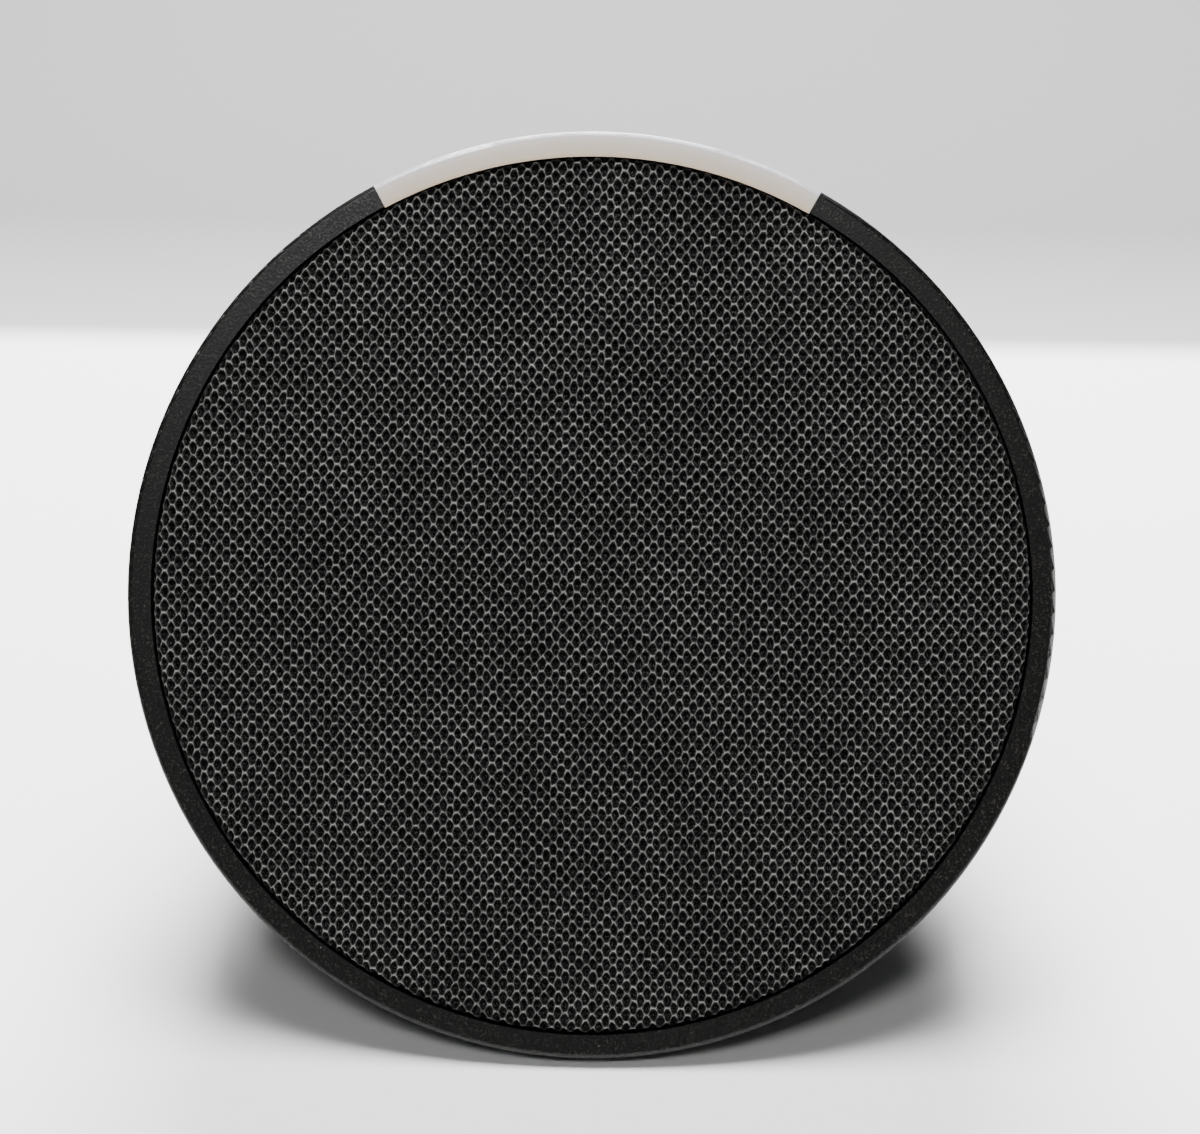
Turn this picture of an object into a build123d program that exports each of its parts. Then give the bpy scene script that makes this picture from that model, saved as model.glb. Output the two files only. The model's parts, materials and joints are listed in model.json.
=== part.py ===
"""Half-dome smart speaker, standing on a table.

A round, cloth-covered face leans back in a thin ring whose top arc is a frosted light bar.
Behind it a one-piece dome shell holds the driver, its sealed chamber, the boards and the power
socket, and three push buttons sit on the crown of the dome between two microphone holes.

Frame of the object: origin at the centre of the foot's underside, +Z up, face looking to -Y.
Frame of the face: origin at the centre of the ring's front, z out of the face, y up along it.
A depth is measured behind the ring's front. Lengths are millimetres and angles are degrees.
"""

import math
import os

from build123d import *

# ---------------------------------------------------------------- whole object
face_diameter = 99.0  # outside of the front ring
face_tilt = 25.0  # lean of the face, back from upright
body_length = 63.6  # ring front to the pole of the dome, along the face axis
barrel_radius = 120.0  # slow curve of the side, just behind the ring
rim_lift = 1.3  # lowest point of the ring above the table
base_height = 1.0  # flat base of the shell above the table
foot_setback = 13.0  # foot centre behind the face centre, along Y
wall = 2.2
base_wall = 3.0
gap = 0.15  # between fixed mouldings

# ---------------------------------------------------------------- ring and light bar
ring_width = 2.5
ring_depth = 5.5
ring_edge = 0.5  # rounding of the outer front edge
shelf_depth = 3.0  # ring front to the shelf under the grille
spigot_length = 3.0
spigot_wall = 1.35
tab_thickness = 1.3
tab_width = 8.0
bar_half_angle = 28.7
bar_joint = 0.05
guide_reach = 2.5  # light guide's foot, inwards from the cloth's edge
guide_front = 3.2
guide_thickness = 1.8
led_board_thickness = 0.8
led_board_rim = 1.2  # board inwards from the light guide's foot
led_inset = 1.1  # emitters outwards from the foot's inner edge
led_height = 0.6
led_count = 9
led_half_angle = 24.0

# ---------------------------------------------------------------- grille
cloth_thickness = 0.7
cloth_gap = 0.3  # visible line between cloth and ring
cloth_crown = 1.3  # centre of the cloth in front of the ring
cloth_edge = 0.35  # edge of the cloth behind the ring front
cloth_shoulder = 1.2
grille_thickness = 1.4
grille_hole_radius = 1.9
grille_hole_pitch = 5.6
grille_solid_rim = 4.6
peg_radius = 1.5
peg_count = 6
peg_inset = 3.5  # pegs inwards from the screw lugs
peg_length = 7.2

# ---------------------------------------------------------------- front baffle and its screws
baffle_front = 6.5
baffle_thickness = 2.5
lug_inset = 3.0  # lugs inwards from the ring's spigot
lug_radius = 3.4
lug_length = 8.0
lug_angle = 45.0
screw_radius = 1.3
screw_slack = 0.05
screw_head_radius = 2.4
screw_head_height = 1.2
small_screw_radius = 0.9
small_head_radius = 1.6
small_head_height = 0.9

# ---------------------------------------------------------------- loudspeaker driver
frame_radius = 27.3
frame_inner_radius = 22.8
frame_thickness = 1.0
frame_seal_thickness = 0.4
frame_screw_circle = 25.6
surround_land = 0.5
surround_inner = 17.6
surround_rise = 2.2
surround_skin = 0.45
cone_throat_radius = 7.0
cone_depth = 6.0
cone_skin = 0.5
cap_radius = 8.0
cap_rise = 2.4
cap_skin = 0.4
coil_radius = 6.6  # inside of the former
former_skin = 0.25
winding_skin = 0.4
winding_height = 5.0
former_tail = 11.0  # former behind the cone's throat
pole_gap = 0.45
coil_gap = 0.5  # winding to top plate
basket_depth = 11.5
basket_throat_radius = 15.5
basket_skin = 1.0
basket_window = 13.0
basket_window_count = 6
spider_depth = 17.0
spider_skin = 0.35
spider_land = 1.6
spider_wave = 0.5
plate_radius = 14.0
plate_thickness = 2.5
magnet_radius = 16.5
magnet_hole_radius = 9.5
magnet_thickness = 6.0
yoke_thickness = 2.6
terminal_reach = 21.0
terminal_width = 8.0
terminal_thickness = 1.2
lug_spacing = 4.4
lug_tab_width = 1.8
lug_tab_thickness = 0.5
lug_tab_length = 2.8

# ---------------------------------------------------------------- sealed chamber
chamber_flange_radius = 34.0
chamber_flange_thickness = 2.0
chamber_front_radius = 29.2
chamber_depth = 36.0  # outside of its back wall
chamber_wall = 1.8
chamber_seal_thickness = 0.8
chamber_screw_circle = 31.8
chamber_floor_gap = 0.6  # to the base bracket
grommet_height = -19.3
grommet_radius = 2.4
grommet_lip = 0.6

# ---------------------------------------------------------------- main board stack
board_width = 40.0
board_height = 34.0
board_thickness = 1.2
board_rise = 2.0  # board centre above the face axis
post_height = 2.0
post_radius = 2.2
board_screw_x = 16.0
board_screw_y = 13.0
can_size = 16.0
can_height = 1.8
can_skin = 0.25
can_x = -3.0
pad_size = 12.0
pad_thickness = 0.8
spreader_width = 38.0
spreader_height = 30.0
spreader_thickness = 1.2
connector_height = 2.2
connector_depth = 4.0
wire_radius = 0.5
wire_spacing = 1.8

# ---------------------------------------------------------------- buttons and microphones
button_depth = 16.8  # button row behind the ring front
button_pitch = 13.0
button_radius = 5.3
button_gap = 0.3
button_proud = 0.35
button_skin = 1.6
button_lip = 0.65
button_lip_gap = 0.3
button_height = 6.5
button_wall = 1.1
button_travel = 0.5
icon_depth = 0.3
icon_stroke = 0.7
icon_length = 3.6
top_board_drop = 9.0  # crown of the shell to the top of the button board
top_board_length = 45.0
top_board_width = 11.0
top_board_back = 2.2  # board centre behind the button row
top_board_thickness = 1.0
switch_size = 4.5
switch_height = 0.9
plunger_radius = 0.8
plunger_gap = 0.15
plunger_reserve = 0.1  # air left under a plunger at the end of its travel
plunger_length = 0.8
plunger_stem = 1.0  # stem of the button below its skirt
plunger_stem_radius = 1.2
mic_spacing = 41.0
mic_hole_radius = 0.6
mic_seal_radius = 1.5
mic_can_length = 4.0
mic_can_width = 3.0
mic_can_height = 1.0
top_boss_x = 6.5
top_boss_y = 5.0
top_boss_radius = 1.8
ribbon_thickness = 0.2
button_ribbon_width = 6.0
button_ribbon_inset = 1.0  # its last turn, inside the edge of the chamber's back
led_ribbon_width = 2.4
led_ribbon_depth = 0.8

# ---------------------------------------------------------------- foot, base and power socket
foot_length = 44.0
foot_width = 40.0
foot_height = 2.0
foot_gap = 0.2
foot_edge = 0.4
base_screw_x = 14.0
base_screw_front = -10.0
base_screw_back = 11.0
base_boss_radius = 4.2
base_boss_height = 1.5
base_head_depth = 1.6
bracket_margin = 5.5
bracket_thickness = 1.8
bracket_boss_radius = 3.0
bracket_boss_height = 2.2
bracket_tongue_width = 14.0
socket_height = 13.5  # socket axis above the table
socket_recess = 6.0  # shell surface to the socket's face, on its axis
socket_recess_radius = 5.2
socket_boss_wall = 1.8
socket_floor = 2.0
socket_nose_radius = 4.0
socket_bore_radius = 2.05
socket_bore_depth = 9.0
socket_pin_radius = 0.825
socket_pin_recess = 0.8
socket_sleeve_skin = 0.4
socket_sleeve_length = 5.0
socket_body_length = 8.6
socket_body_width = 9.0
socket_wire_drop = 2.0

# ---------------------------------------------------------------- frames and shared shapes
tilt = math.radians(face_tilt)
face_radius = face_diameter / 2
face_centre = Vector(0, -foot_setback, face_radius * math.cos(tilt) + rim_lift)
face_out = Vector(0, -math.cos(tilt), math.sin(tilt))
face_up = Vector(0, math.sin(tilt), math.cos(tilt))
face = Plane(origin=face_centre, x_dir=(1, 0, 0), z_dir=face_out)
section = Plane(origin=face_centre, x_dir=(1, 0, 0), z_dir=-face_up)
profile = Plane(origin=face_centre, x_dir=face_up, z_dir=(1, 0, 0))
face_axis = Axis(face_centre, face_out)

back_radius = (barrel_radius**2 - (barrel_radius - face_radius) ** 2 - body_length**2) / (
    2 * (barrel_radius - body_length)
)
back_centre = body_length - back_radius  # depth of the dome's centre
joint_angle = math.atan2(back_centre, barrel_radius - face_radius)
joint_depth = barrel_radius * math.sin(joint_angle)
floor_top = base_height + base_wall
boss_top = floor_top + base_boss_height
bracket_top = boss_top + bracket_thickness


def side_point(inset, angle):
    """Point of the barrel arc, as (radius, height along the face axis)."""
    radius = barrel_radius - inset
    return (face_radius - barrel_radius + radius * math.cos(angle), -radius * math.sin(angle))


def dome_point(inset, angle):
    """Point of the dome arc behind the barrel, in the same terms."""
    radius = back_radius - inset
    return (radius * math.cos(angle), -back_centre - radius * math.sin(angle))


def body_radius(depth, inset=0.0):
    """Radius of the body's surface, moved in by inset, at a depth."""
    if depth < joint_depth:
        return face_radius - barrel_radius + math.sqrt((barrel_radius - inset) ** 2 - depth**2)
    return math.sqrt((back_radius - inset) ** 2 - (depth - back_centre) ** 2)


def body_plug(inset, depth):
    """Everything inside the body's surface, moved in by inset, from a depth back to the pole."""
    start_angle = math.asin(depth / (barrel_radius - inset))
    start = side_point(inset, start_angle)
    joint = side_point(inset, joint_angle)
    pole = dome_point(inset, math.pi / 2)
    with BuildPart() as plug:
        with BuildSketch(section):
            with BuildLine():
                Line((0, -depth), start)
                ThreePointArc(start, side_point(inset, (start_angle + joint_angle) / 2), joint)
                ThreePointArc(joint, dome_point(inset, (joint_angle + math.pi / 2) / 2), pole)
                Line(pole, (0, -depth))
            make_face()
        revolve(axis=face_axis)
    return plug.part


def turned(*points):
    """A ring turned about the face axis from a closed profile of (radius, depth) points."""
    with BuildPart() as ring:
        with BuildSketch(section):
            Polygon(*[(radius, -depth) for radius, depth in points], align=None)
        revolve(axis=face_axis)
    return ring.part


def washer(inner, outer, front, thickness):
    """A flat ring about the face axis, between a front depth and a back depth."""
    back = front + thickness
    return turned((inner, front), (outer, front), (outer, back), (inner, back))


def top_sector(half_angle, front, back):
    """The sector about the top of the face that the light bar fills."""
    reach = face_diameter * 0.75
    tip_x = reach * math.sin(math.radians(half_angle))
    tip_y = reach * math.cos(math.radians(half_angle))
    with BuildPart() as sector:
        with BuildSketch(face.offset(-back)):
            Polygon((0, 0), (tip_x, tip_y), (0, reach), (-tip_x, tip_y), align=None)
        extrude(amount=back - front)
    return sector.part


def around(circle, count, start_angle=0.0):
    """Places evenly spaced on a circle, as (x, y) pairs."""
    angles = [math.radians(start_angle + 360 / count * i) for i in range(count)]
    return [(circle * math.cos(a), circle * math.sin(a)) for a in angles]


def half_way_sag(radius, rise):
    """Drop from the top of a spherical cap, of a radius and a rise, to its half-way circle."""
    sphere = (radius**2 + rise**2) / (2 * rise)
    return sphere - math.sqrt(sphere**2 - (radius / 2) ** 2)


def screws(plane, places, radius, length, head_radius, head_height):
    """Cross-headed screws, each head standing on the plane and its shank going into it."""
    with BuildPart() as group:
        with BuildSketch(plane):
            with Locations(*places):
                Circle(head_radius)
        extrude(amount=head_height)
        with BuildSketch(plane):
            with Locations(*places):
                Circle(radius - screw_slack)
        extrude(amount=-length)
        with BuildSketch(plane.offset(head_height)):
            with Locations(*places):
                Rectangle(head_radius * 1.1, head_radius * 0.24)
                Rectangle(head_radius * 0.24, head_radius * 1.1)
        extrude(amount=-head_height * 0.6, mode=Mode.SUBTRACT)
    return group.part


def wire(points, bend):
    """A round wire along a route of straight runs with rounded bends."""
    with BuildPart() as strand:
        with BuildLine() as route:
            FilletPolyline(*points, radius=bend)
        with BuildSketch(Plane(origin=route.line @ 0, z_dir=route.line % 0)):
            Circle(wire_radius)
        sweep()
    return strand.part


def ribbon(points, width, bend, shift=0.0):
    """A flat cable on edge to the profile plane, along (height, out) points of it."""
    with BuildPart() as strip:
        with BuildLine(profile.offset(shift)) as route:
            FilletPolyline(*points, radius=bend)
        start = Plane(origin=route.line @ 0, x_dir=(1, 0, 0), z_dir=route.line % 0)
        with BuildSketch(start):
            Rectangle(width, ribbon_thickness)
        sweep()
    return strip.part


def write_piece(part, name):
    """Labels a finished piece and writes it."""
    part.label = name
    export_step(part, f"parts/{name}.step")


os.makedirs("parts", exist_ok=True)

# places that several pieces share
ring_inner_radius = face_radius - ring_width
ring_back = ring_depth + spigot_length
spigot_radius = body_radius(ring_back, wall) - gap
spigot_inner_radius = spigot_radius - spigot_wall
cloth_radius = ring_inner_radius - cloth_gap
grille_radius = cloth_radius - cloth_thickness
guide_radius = cloth_radius - guide_reach
led_board_radius = guide_radius - led_board_rim
lug_circle = spigot_inner_radius - lug_inset
peg_circle = lug_circle - peg_inset
lug_places = around(lug_circle, 4, lug_angle)
peg_places = around(peg_circle, peg_count)
baffle_radius = spigot_inner_radius - gap
baffle_back = baffle_front + baffle_thickness
base_screw_places = [
    (x, y) for x in (-base_screw_x, base_screw_x) for y in (base_screw_front, base_screw_back)
]

crown_lean = math.asin(button_depth / barrel_radius)
if button_depth > joint_depth:
    crown_lean = math.asin((button_depth - back_centre) / back_radius)
crown = Plane(
    origin=face.from_local_coords((0, body_radius(button_depth), -button_depth)),
    x_dir=(1, 0, 0),
    z_dir=face_up * math.cos(crown_lean) - face_out * math.sin(crown_lean),
)
crown_board = crown.offset(-top_board_drop)
button_places = {"volume_down": -button_pitch, "mic_mute": 0.0, "volume_up": button_pitch}
mic_places = [(-mic_spacing / 2, 0), (mic_spacing / 2, 0)]
top_boss_places = [(-top_boss_x, top_boss_y), (top_boss_x, top_boss_y)]

dome_middle = face.from_local_coords((0, 0, -back_centre))
socket_surface = dome_middle.Y + math.sqrt(
    back_radius**2 - (socket_height - dome_middle.Z) ** 2
)
socket_face = Plane(
    origin=(0, socket_surface - socket_recess, socket_height), x_dir=(1, 0, 0), z_dir=(0, 1, 0)
)
socket_front_y = socket_face.origin.Y - socket_floor - socket_body_length

# ================================================================ rear shell
with BuildPart() as cavity:
    add(body_plug(wall, 0))
    split(bisect_by=Plane.XY.offset(floor_top), keep=Keep.TOP)

with BuildPart() as inner_bosses:
    with BuildSketch(face.offset(-baffle_back)):
        with PolarLocations(lug_circle, 4, start_angle=lug_angle):
            Circle(lug_radius)
            with Locations((lug_radius, 0)):
                Rectangle(2 * lug_radius, 2 * lug_radius)
    extrude(amount=-lug_length)
    with BuildSketch(socket_face.offset(-socket_floor)):
        Circle(socket_recess_radius + socket_boss_wall)
    extrude(amount=2 * (socket_floor + socket_recess))
    with BuildSketch(crown_board):
        with Locations(*top_boss_places):
            Circle(top_boss_radius)
    extrude(amount=top_board_drop)
    add(body_plug(wall / 2, 0), mode=Mode.INTERSECT)

with BuildPart() as rear_shell:
    add(body_plug(0, ring_depth))
    add(cavity.part, mode=Mode.SUBTRACT)
    split(bisect_by=Plane.XY.offset(base_height), keep=Keep.TOP)
    add(inner_bosses.part)
    with BuildSketch(Plane.XY.offset(floor_top)):
        with Locations(*base_screw_places):
            Circle(base_boss_radius)
    extrude(amount=base_boss_height)
    with BuildSketch(Plane.XY.offset(base_height)):
        Ellipse(foot_length / 2 + foot_gap, foot_width / 2 + foot_gap)
    extrude(amount=foot_height - base_height, mode=Mode.SUBTRACT)
    with BuildSketch(Plane.XY.offset(foot_height)):
        with Locations(*base_screw_places):
            Circle(screw_head_radius + gap)
    extrude(amount=base_head_depth, mode=Mode.SUBTRACT)
    with BuildSketch(Plane.XY.offset(foot_height)):
        with Locations(*base_screw_places):
            Circle(screw_radius + gap)
    extrude(amount=boss_top - foot_height, mode=Mode.SUBTRACT)
    with BuildSketch(face.offset(-baffle_back)):
        with Locations(*lug_places):
            Circle(screw_radius)
    extrude(amount=-lug_length + 1.5, mode=Mode.SUBTRACT)
    with BuildSketch(crown_board):
        with Locations(*top_boss_places):
            Circle(small_screw_radius)
    extrude(amount=top_board_drop - wall - 1.0, mode=Mode.SUBTRACT)
    with BuildSketch(crown_board):
        with Locations(*[(x, 0) for x in button_places.values()]):
            Circle(button_radius + button_gap)
        with Locations(*mic_places):
            Circle(mic_hole_radius)
    extrude(amount=top_board_drop * 2, mode=Mode.SUBTRACT)
    with BuildSketch(socket_face):
        Circle(socket_recess_radius)
    extrude(amount=face_diameter, mode=Mode.SUBTRACT)
    with BuildSketch(socket_face.offset(-socket_floor)):
        Circle(socket_nose_radius + gap)
    extrude(amount=socket_floor, mode=Mode.SUBTRACT)
write_piece(rear_shell.part, "rear_shell")


# ================================================================ front ring and light bar
def rim_line(inner_radius, joint):
    """The ring's outside, from its back edge to the start of its front, rounded over."""
    Polyline((body_radius(ring_depth), -ring_depth + joint), (inner_radius, -ring_depth + joint))
    RadiusArc((face_radius - ring_edge, 0), (face_radius, -ring_edge), ring_edge)
    ThreePointArc(
        (face_radius, -ring_edge),
        (body_radius(ring_depth / 2), -ring_depth / 2),
        (body_radius(ring_depth), -ring_depth + joint),
    )


with BuildPart() as spigot_clearance:  # below it the shell's base is in the way
    with BuildSketch(face.offset(-ring_depth)):
        Rectangle(face_diameter, face_diameter)
    extrude(amount=-face_diameter / 2)
    split(bisect_by=Plane.XY.offset(floor_top + gap), keep=Keep.BOTTOM)

with BuildPart() as front_ring:
    with BuildSketch(section):
        with BuildLine():
            rim_line(spigot_radius, 0)
            Polyline(
                (spigot_radius, -ring_depth),
                (spigot_radius, -ring_back),
                (spigot_inner_radius, -ring_back),
                (spigot_inner_radius, -shelf_depth),
                (ring_inner_radius, -shelf_depth),
                (ring_inner_radius, 0),
                (face_radius - ring_edge, 0),
            )
        make_face()
    revolve(axis=face_axis)
    with BuildSketch(face.offset(-baffle_front)):
        tab_reach = lug_inset + spigot_wall / 2
        with PolarLocations(lug_circle, 4, start_angle=lug_angle):
            Circle(tab_width / 2)
            with Locations((tab_reach / 2, 0)):
                Rectangle(tab_reach, tab_width)
    extrude(amount=tab_thickness)
    with BuildSketch(face.offset(-baffle_front)):
        with Locations(*lug_places):
            Circle(screw_radius + gap)
    extrude(amount=tab_thickness, mode=Mode.SUBTRACT)
    add(top_sector(bar_half_angle, -1, baffle_front + bar_joint), mode=Mode.SUBTRACT)
    split(bisect_by=Plane.XY.offset(base_height), keep=Keep.TOP)
    add(spigot_clearance.part, mode=Mode.SUBTRACT)
write_piece(front_ring.part, "front_ring")

bar_radius = ring_inner_radius - cloth_gap / 2
guide_back = guide_front + guide_thickness
with BuildPart() as light_bar:
    with BuildSketch(section):
        with BuildLine():
            rim_line(bar_radius, bar_joint)
            Polyline(
                (bar_radius, -ring_depth + bar_joint),
                (bar_radius, -guide_back),
                (guide_radius, -guide_back),
                (guide_radius, -guide_front),
                (bar_radius, -guide_front),
                (bar_radius, 0),
                (face_radius - ring_edge, 0),
            )
        make_face()
    revolve(axis=face_axis)
    bar_trim = math.degrees(bar_joint / face_radius)
    add(top_sector(bar_half_angle - bar_trim, -1, ring_depth), mode=Mode.INTERSECT)
write_piece(light_bar.part, "light_bar")

led_board_front = baffle_front - led_board_thickness
with BuildPart() as led_board:
    add(washer(led_board_radius, spigot_radius, led_board_front, led_board_thickness))
    add(top_sector(bar_half_angle - 1.5, 0, baffle_front), mode=Mode.INTERSECT)
write_piece(led_board.part, "led_board")

with BuildPart() as light_emitters:
    with BuildSketch(face.offset(-led_board_front)):
        with PolarLocations(
            guide_radius + led_inset,
            led_count,
            start_angle=90 - led_half_angle,
            angular_range=2 * led_half_angle,
            endpoint=True,
        ):
            Rectangle(1.0, 2.0)
    extrude(amount=led_height)
write_piece(light_emitters.part, "light_emitters")


# ================================================================ grille cloth and its frame
def crowned_disc(inset, radius, shoulder):
    """A shallow dome with a rounded shoulder and a skirt down to the ring's shelf."""
    sag = half_way_sag(radius, cloth_crown + cloth_edge)
    top = (0, cloth_crown - inset)
    edge = (radius, -cloth_edge - inset)
    with BuildPart() as disc:
        with BuildSketch(section) as half:
            with BuildLine():
                Polyline(top, (0, -shelf_depth), (radius, -shelf_depth), edge)
                ThreePointArc(edge, (radius / 2, cloth_crown - inset - sag), top)
            make_face()
            if shoulder:
                corner = half.vertices().sort_by(Axis.X)[-2:].sort_by(Axis.Y)[-1]
                fillet(corner, shoulder)
        revolve(axis=face_axis)
    return disc.part


inner_shoulder = cloth_shoulder - cloth_thickness
with BuildPart() as grille_cloth:
    add(crowned_disc(0, cloth_radius, cloth_shoulder))
    add(crowned_disc(cloth_thickness, grille_radius, inner_shoulder), mode=Mode.SUBTRACT)
write_piece(grille_cloth.part, "grille_cloth")

grille_inset = cloth_thickness + grille_thickness
hole_field = grille_radius - grille_solid_rim - grille_hole_radius
row_pitch = grille_hole_pitch * math.sqrt(3) / 2
hole_rows = int(hole_field / row_pitch)
hole_columns = int(hole_field / grille_hole_pitch) + 1
hole_grid = [
    ((column + row % 2 / 2) * grille_hole_pitch, row * row_pitch)
    for row in range(-hole_rows, hole_rows + 1)
    for column in range(-hole_columns, hole_columns + 1)
]
hole_places = [
    hole
    for hole in hole_grid
    if math.hypot(*hole) < hole_field
    and min(math.dist(hole, peg) for peg in peg_places) > grille_hole_radius + 2 * peg_radius
]
with BuildPart() as grille_frame:
    add(crowned_disc(cloth_thickness, grille_radius, inner_shoulder))
    add(crowned_disc(grille_inset, guide_radius - gap, 0), mode=Mode.SUBTRACT)
    with BuildSketch(face.offset(-shelf_depth)):
        with Locations(*hole_places):
            Circle(grille_hole_radius)
    extrude(amount=shelf_depth + cloth_crown, mode=Mode.SUBTRACT)
    with BuildSketch(face.offset(-cloth_edge - cloth_thickness)):
        with Locations(*peg_places):
            Circle(peg_radius)
    extrude(amount=-grille_thickness - peg_length)
write_piece(grille_frame.part, "grille_frame")

# ================================================================ front baffle
chamber_screw_places = around(chamber_screw_circle, 4)
frame_screw_places = around(frame_screw_circle, 4, lug_angle)
frame_back = baffle_front + frame_thickness
frame_seat = frame_back + frame_seal_thickness
led_ribbon_x = button_pitch / 2
with BuildPart() as front_baffle:
    with BuildSketch(face.offset(-baffle_back)):
        Circle(baffle_radius)
        Circle(frame_inner_radius + basket_skin + gap, mode=Mode.SUBTRACT)
        with Locations(*lug_places):
            Circle(screw_radius + gap, mode=Mode.SUBTRACT)
        with Locations(*peg_places):
            Circle(peg_radius + gap, mode=Mode.SUBTRACT)
        with Locations(*chamber_screw_places):
            Circle(small_screw_radius, mode=Mode.SUBTRACT)
        with Locations(*frame_screw_places):
            Circle(small_screw_radius, mode=Mode.SUBTRACT)
        with Locations((led_ribbon_x, baffle_radius)):
            notch_depth = 2 * (baffle_radius - led_board_radius)
            Rectangle(led_ribbon_width + 4 * gap, notch_depth, mode=Mode.SUBTRACT)
    extrude(amount=baffle_thickness)
    with BuildSketch(face.offset(-baffle_front)):
        Circle(frame_radius + gap)
    extrude(amount=baffle_front - frame_seat, mode=Mode.SUBTRACT)
    split(bisect_by=Plane.XY.offset(floor_top + gap), keep=Keep.TOP)
write_piece(front_baffle.part, "front_baffle")

ring_screw_length = tab_thickness + baffle_thickness + lug_length - 3.0
write_piece(
    screws(
        face.offset(-baffle_front + tab_thickness),
        lug_places,
        screw_radius,
        ring_screw_length,
        screw_head_radius,
        screw_head_height,
    ),
    "ring_screws",
)

# ================================================================ loudspeaker driver
basket_back = frame_back + basket_depth
plate_front = basket_back + basket_skin
magnet_front = plate_front + plate_thickness
yoke_front = magnet_front + magnet_thickness
plate_bore = coil_radius + former_skin + winding_skin + coil_gap
basket_slope = (frame_inner_radius - basket_throat_radius) / basket_depth
spider_radius = frame_inner_radius - basket_slope * (spider_depth - frame_back) - gap
cone_front = baffle_front + surround_land

with BuildPart() as driver_basket:
    with BuildSketch(section):
        Polygon(
            (frame_radius, -baffle_front),
            (frame_radius, -frame_back),
            (frame_inner_radius + basket_skin, -frame_back),
            (basket_throat_radius + basket_skin, -basket_back),
            (basket_throat_radius + basket_skin, -plate_front),
            (plate_bore + 1, -plate_front),
            (plate_bore + 1, -basket_back),
            (basket_throat_radius, -basket_back),
            (frame_inner_radius, -frame_back),
            (frame_inner_radius, -baffle_front),
            align=None,
        )
    revolve(axis=face_axis)
    with BuildSketch(face.offset(-baffle_back - 1)):
        with PolarLocations(frame_inner_radius, basket_window_count, start_angle=30):
            Rectangle(basket_window, basket_window)
    extrude(amount=baffle_back + 3 - spider_depth, mode=Mode.SUBTRACT)
    add(
        washer(
            spider_radius - spider_land,
            spider_radius + basket_skin / 2,
            spider_depth,
            basket_skin,
        )
    )
    with BuildSketch(face.offset(-plate_front)):
        with Locations((0, -terminal_reach / 2 - plate_radius / 2)):
            Rectangle(terminal_width, terminal_reach - plate_radius)
    extrude(amount=basket_skin)
    with BuildSketch(face.offset(-baffle_front)):
        with Locations(*frame_screw_places):
            Circle(small_screw_radius + gap)
    extrude(amount=-frame_thickness, mode=Mode.SUBTRACT)
write_piece(driver_basket.part, "driver_basket")

with BuildPart() as driver_seal:
    add(washer(frame_inner_radius + basket_skin + gap, frame_radius, frame_back, frame_seal_thickness))
    with BuildSketch(face.offset(-frame_back)):
        with Locations(*frame_screw_places):
            Circle(small_screw_radius + gap)
    extrude(amount=-frame_seal_thickness, mode=Mode.SUBTRACT)
write_piece(driver_seal.part, "driver_seal")

write_piece(
    screws(
        face.offset(-baffle_front),
        frame_screw_places,
        small_screw_radius,
        baffle_thickness,
        small_head_radius,
        small_head_height,
    ),
    "driver_screws",
)

roll_middle = (frame_inner_radius + surround_inner) / 2
land_radius = frame_screw_circle - small_head_radius - gap
with BuildPart() as surround:
    with BuildSketch(section):
        with BuildLine():
            Polyline(
                (frame_inner_radius, -baffle_front),
                (land_radius, -baffle_front),
                (land_radius, -baffle_front + surround_skin),
                (frame_inner_radius, -baffle_front + surround_skin),
            )
            ThreePointArc(
                (frame_inner_radius, -baffle_front + surround_skin),
                (roll_middle, -baffle_front + surround_rise),
                (surround_inner, -baffle_front + surround_skin),
            )
            Polyline(
                (surround_inner, -baffle_front + surround_skin),
                (surround_inner - surround_land * 2, -baffle_front + surround_skin),
                (surround_inner - surround_land * 2, -baffle_front),
                (surround_inner, -baffle_front),
            )
            ThreePointArc(
                (surround_inner, -baffle_front),
                (roll_middle, -baffle_front + surround_rise - surround_skin),
                (frame_inner_radius, -baffle_front),
            )
        make_face()
    revolve(axis=face_axis)
write_piece(surround.part, "surround")

cone_lip = surround_inner - surround_land * 2
cone_back = cone_front + cone_depth
with BuildPart() as driver_cone:
    add(
        turned(
            (surround_inner, baffle_front),
            (cone_lip, baffle_front),
            (cone_throat_radius, cone_back),
            (coil_radius + former_skin, cone_back),
            (coil_radius + former_skin, cone_back + cone_skin),
            (cone_throat_radius + cone_skin / 2, cone_back + cone_skin),
            (surround_inner, baffle_front + cone_skin),
        )
    )
write_piece(driver_cone.part, "driver_cone")


def cone_surface(radius):
    """Depth of the cone's front surface at a radius."""
    share = (radius - cone_throat_radius) / (cone_lip - cone_throat_radius)
    return cone_back + (baffle_front - cone_back) * share


cap_top = cone_surface(cap_radius) - cap_rise
cap_inside = cap_radius - cap_skin
with BuildPart() as dust_cap:
    with BuildSketch(section):
        with BuildLine():
            outer_edge = (cap_radius, -cone_surface(cap_radius))
            inner_edge = (cap_inside, -cone_surface(cap_inside))
            inner_top = cap_top + cap_skin
            outer_half = cap_top + half_way_sag(cap_radius, cap_rise)
            inner_half = inner_top + half_way_sag(cap_inside, -inner_edge[1] - inner_top)
            ThreePointArc(outer_edge, (cap_radius / 2, -outer_half), (0, -cap_top))
            Line((0, -cap_top), (0, -inner_top))
            ThreePointArc((0, -inner_top), (cap_inside / 2, -inner_half), inner_edge)
            Line(inner_edge, outer_edge)
        make_face()
    revolve(axis=face_axis)
write_piece(dust_cap.part, "dust_cap")

former_back = cone_back + former_tail
former_outside = coil_radius + former_skin
with BuildPart() as coil_former:
    add(washer(coil_radius, former_outside, cone_back, former_tail))
write_piece(coil_former.part, "coil_former")

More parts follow.
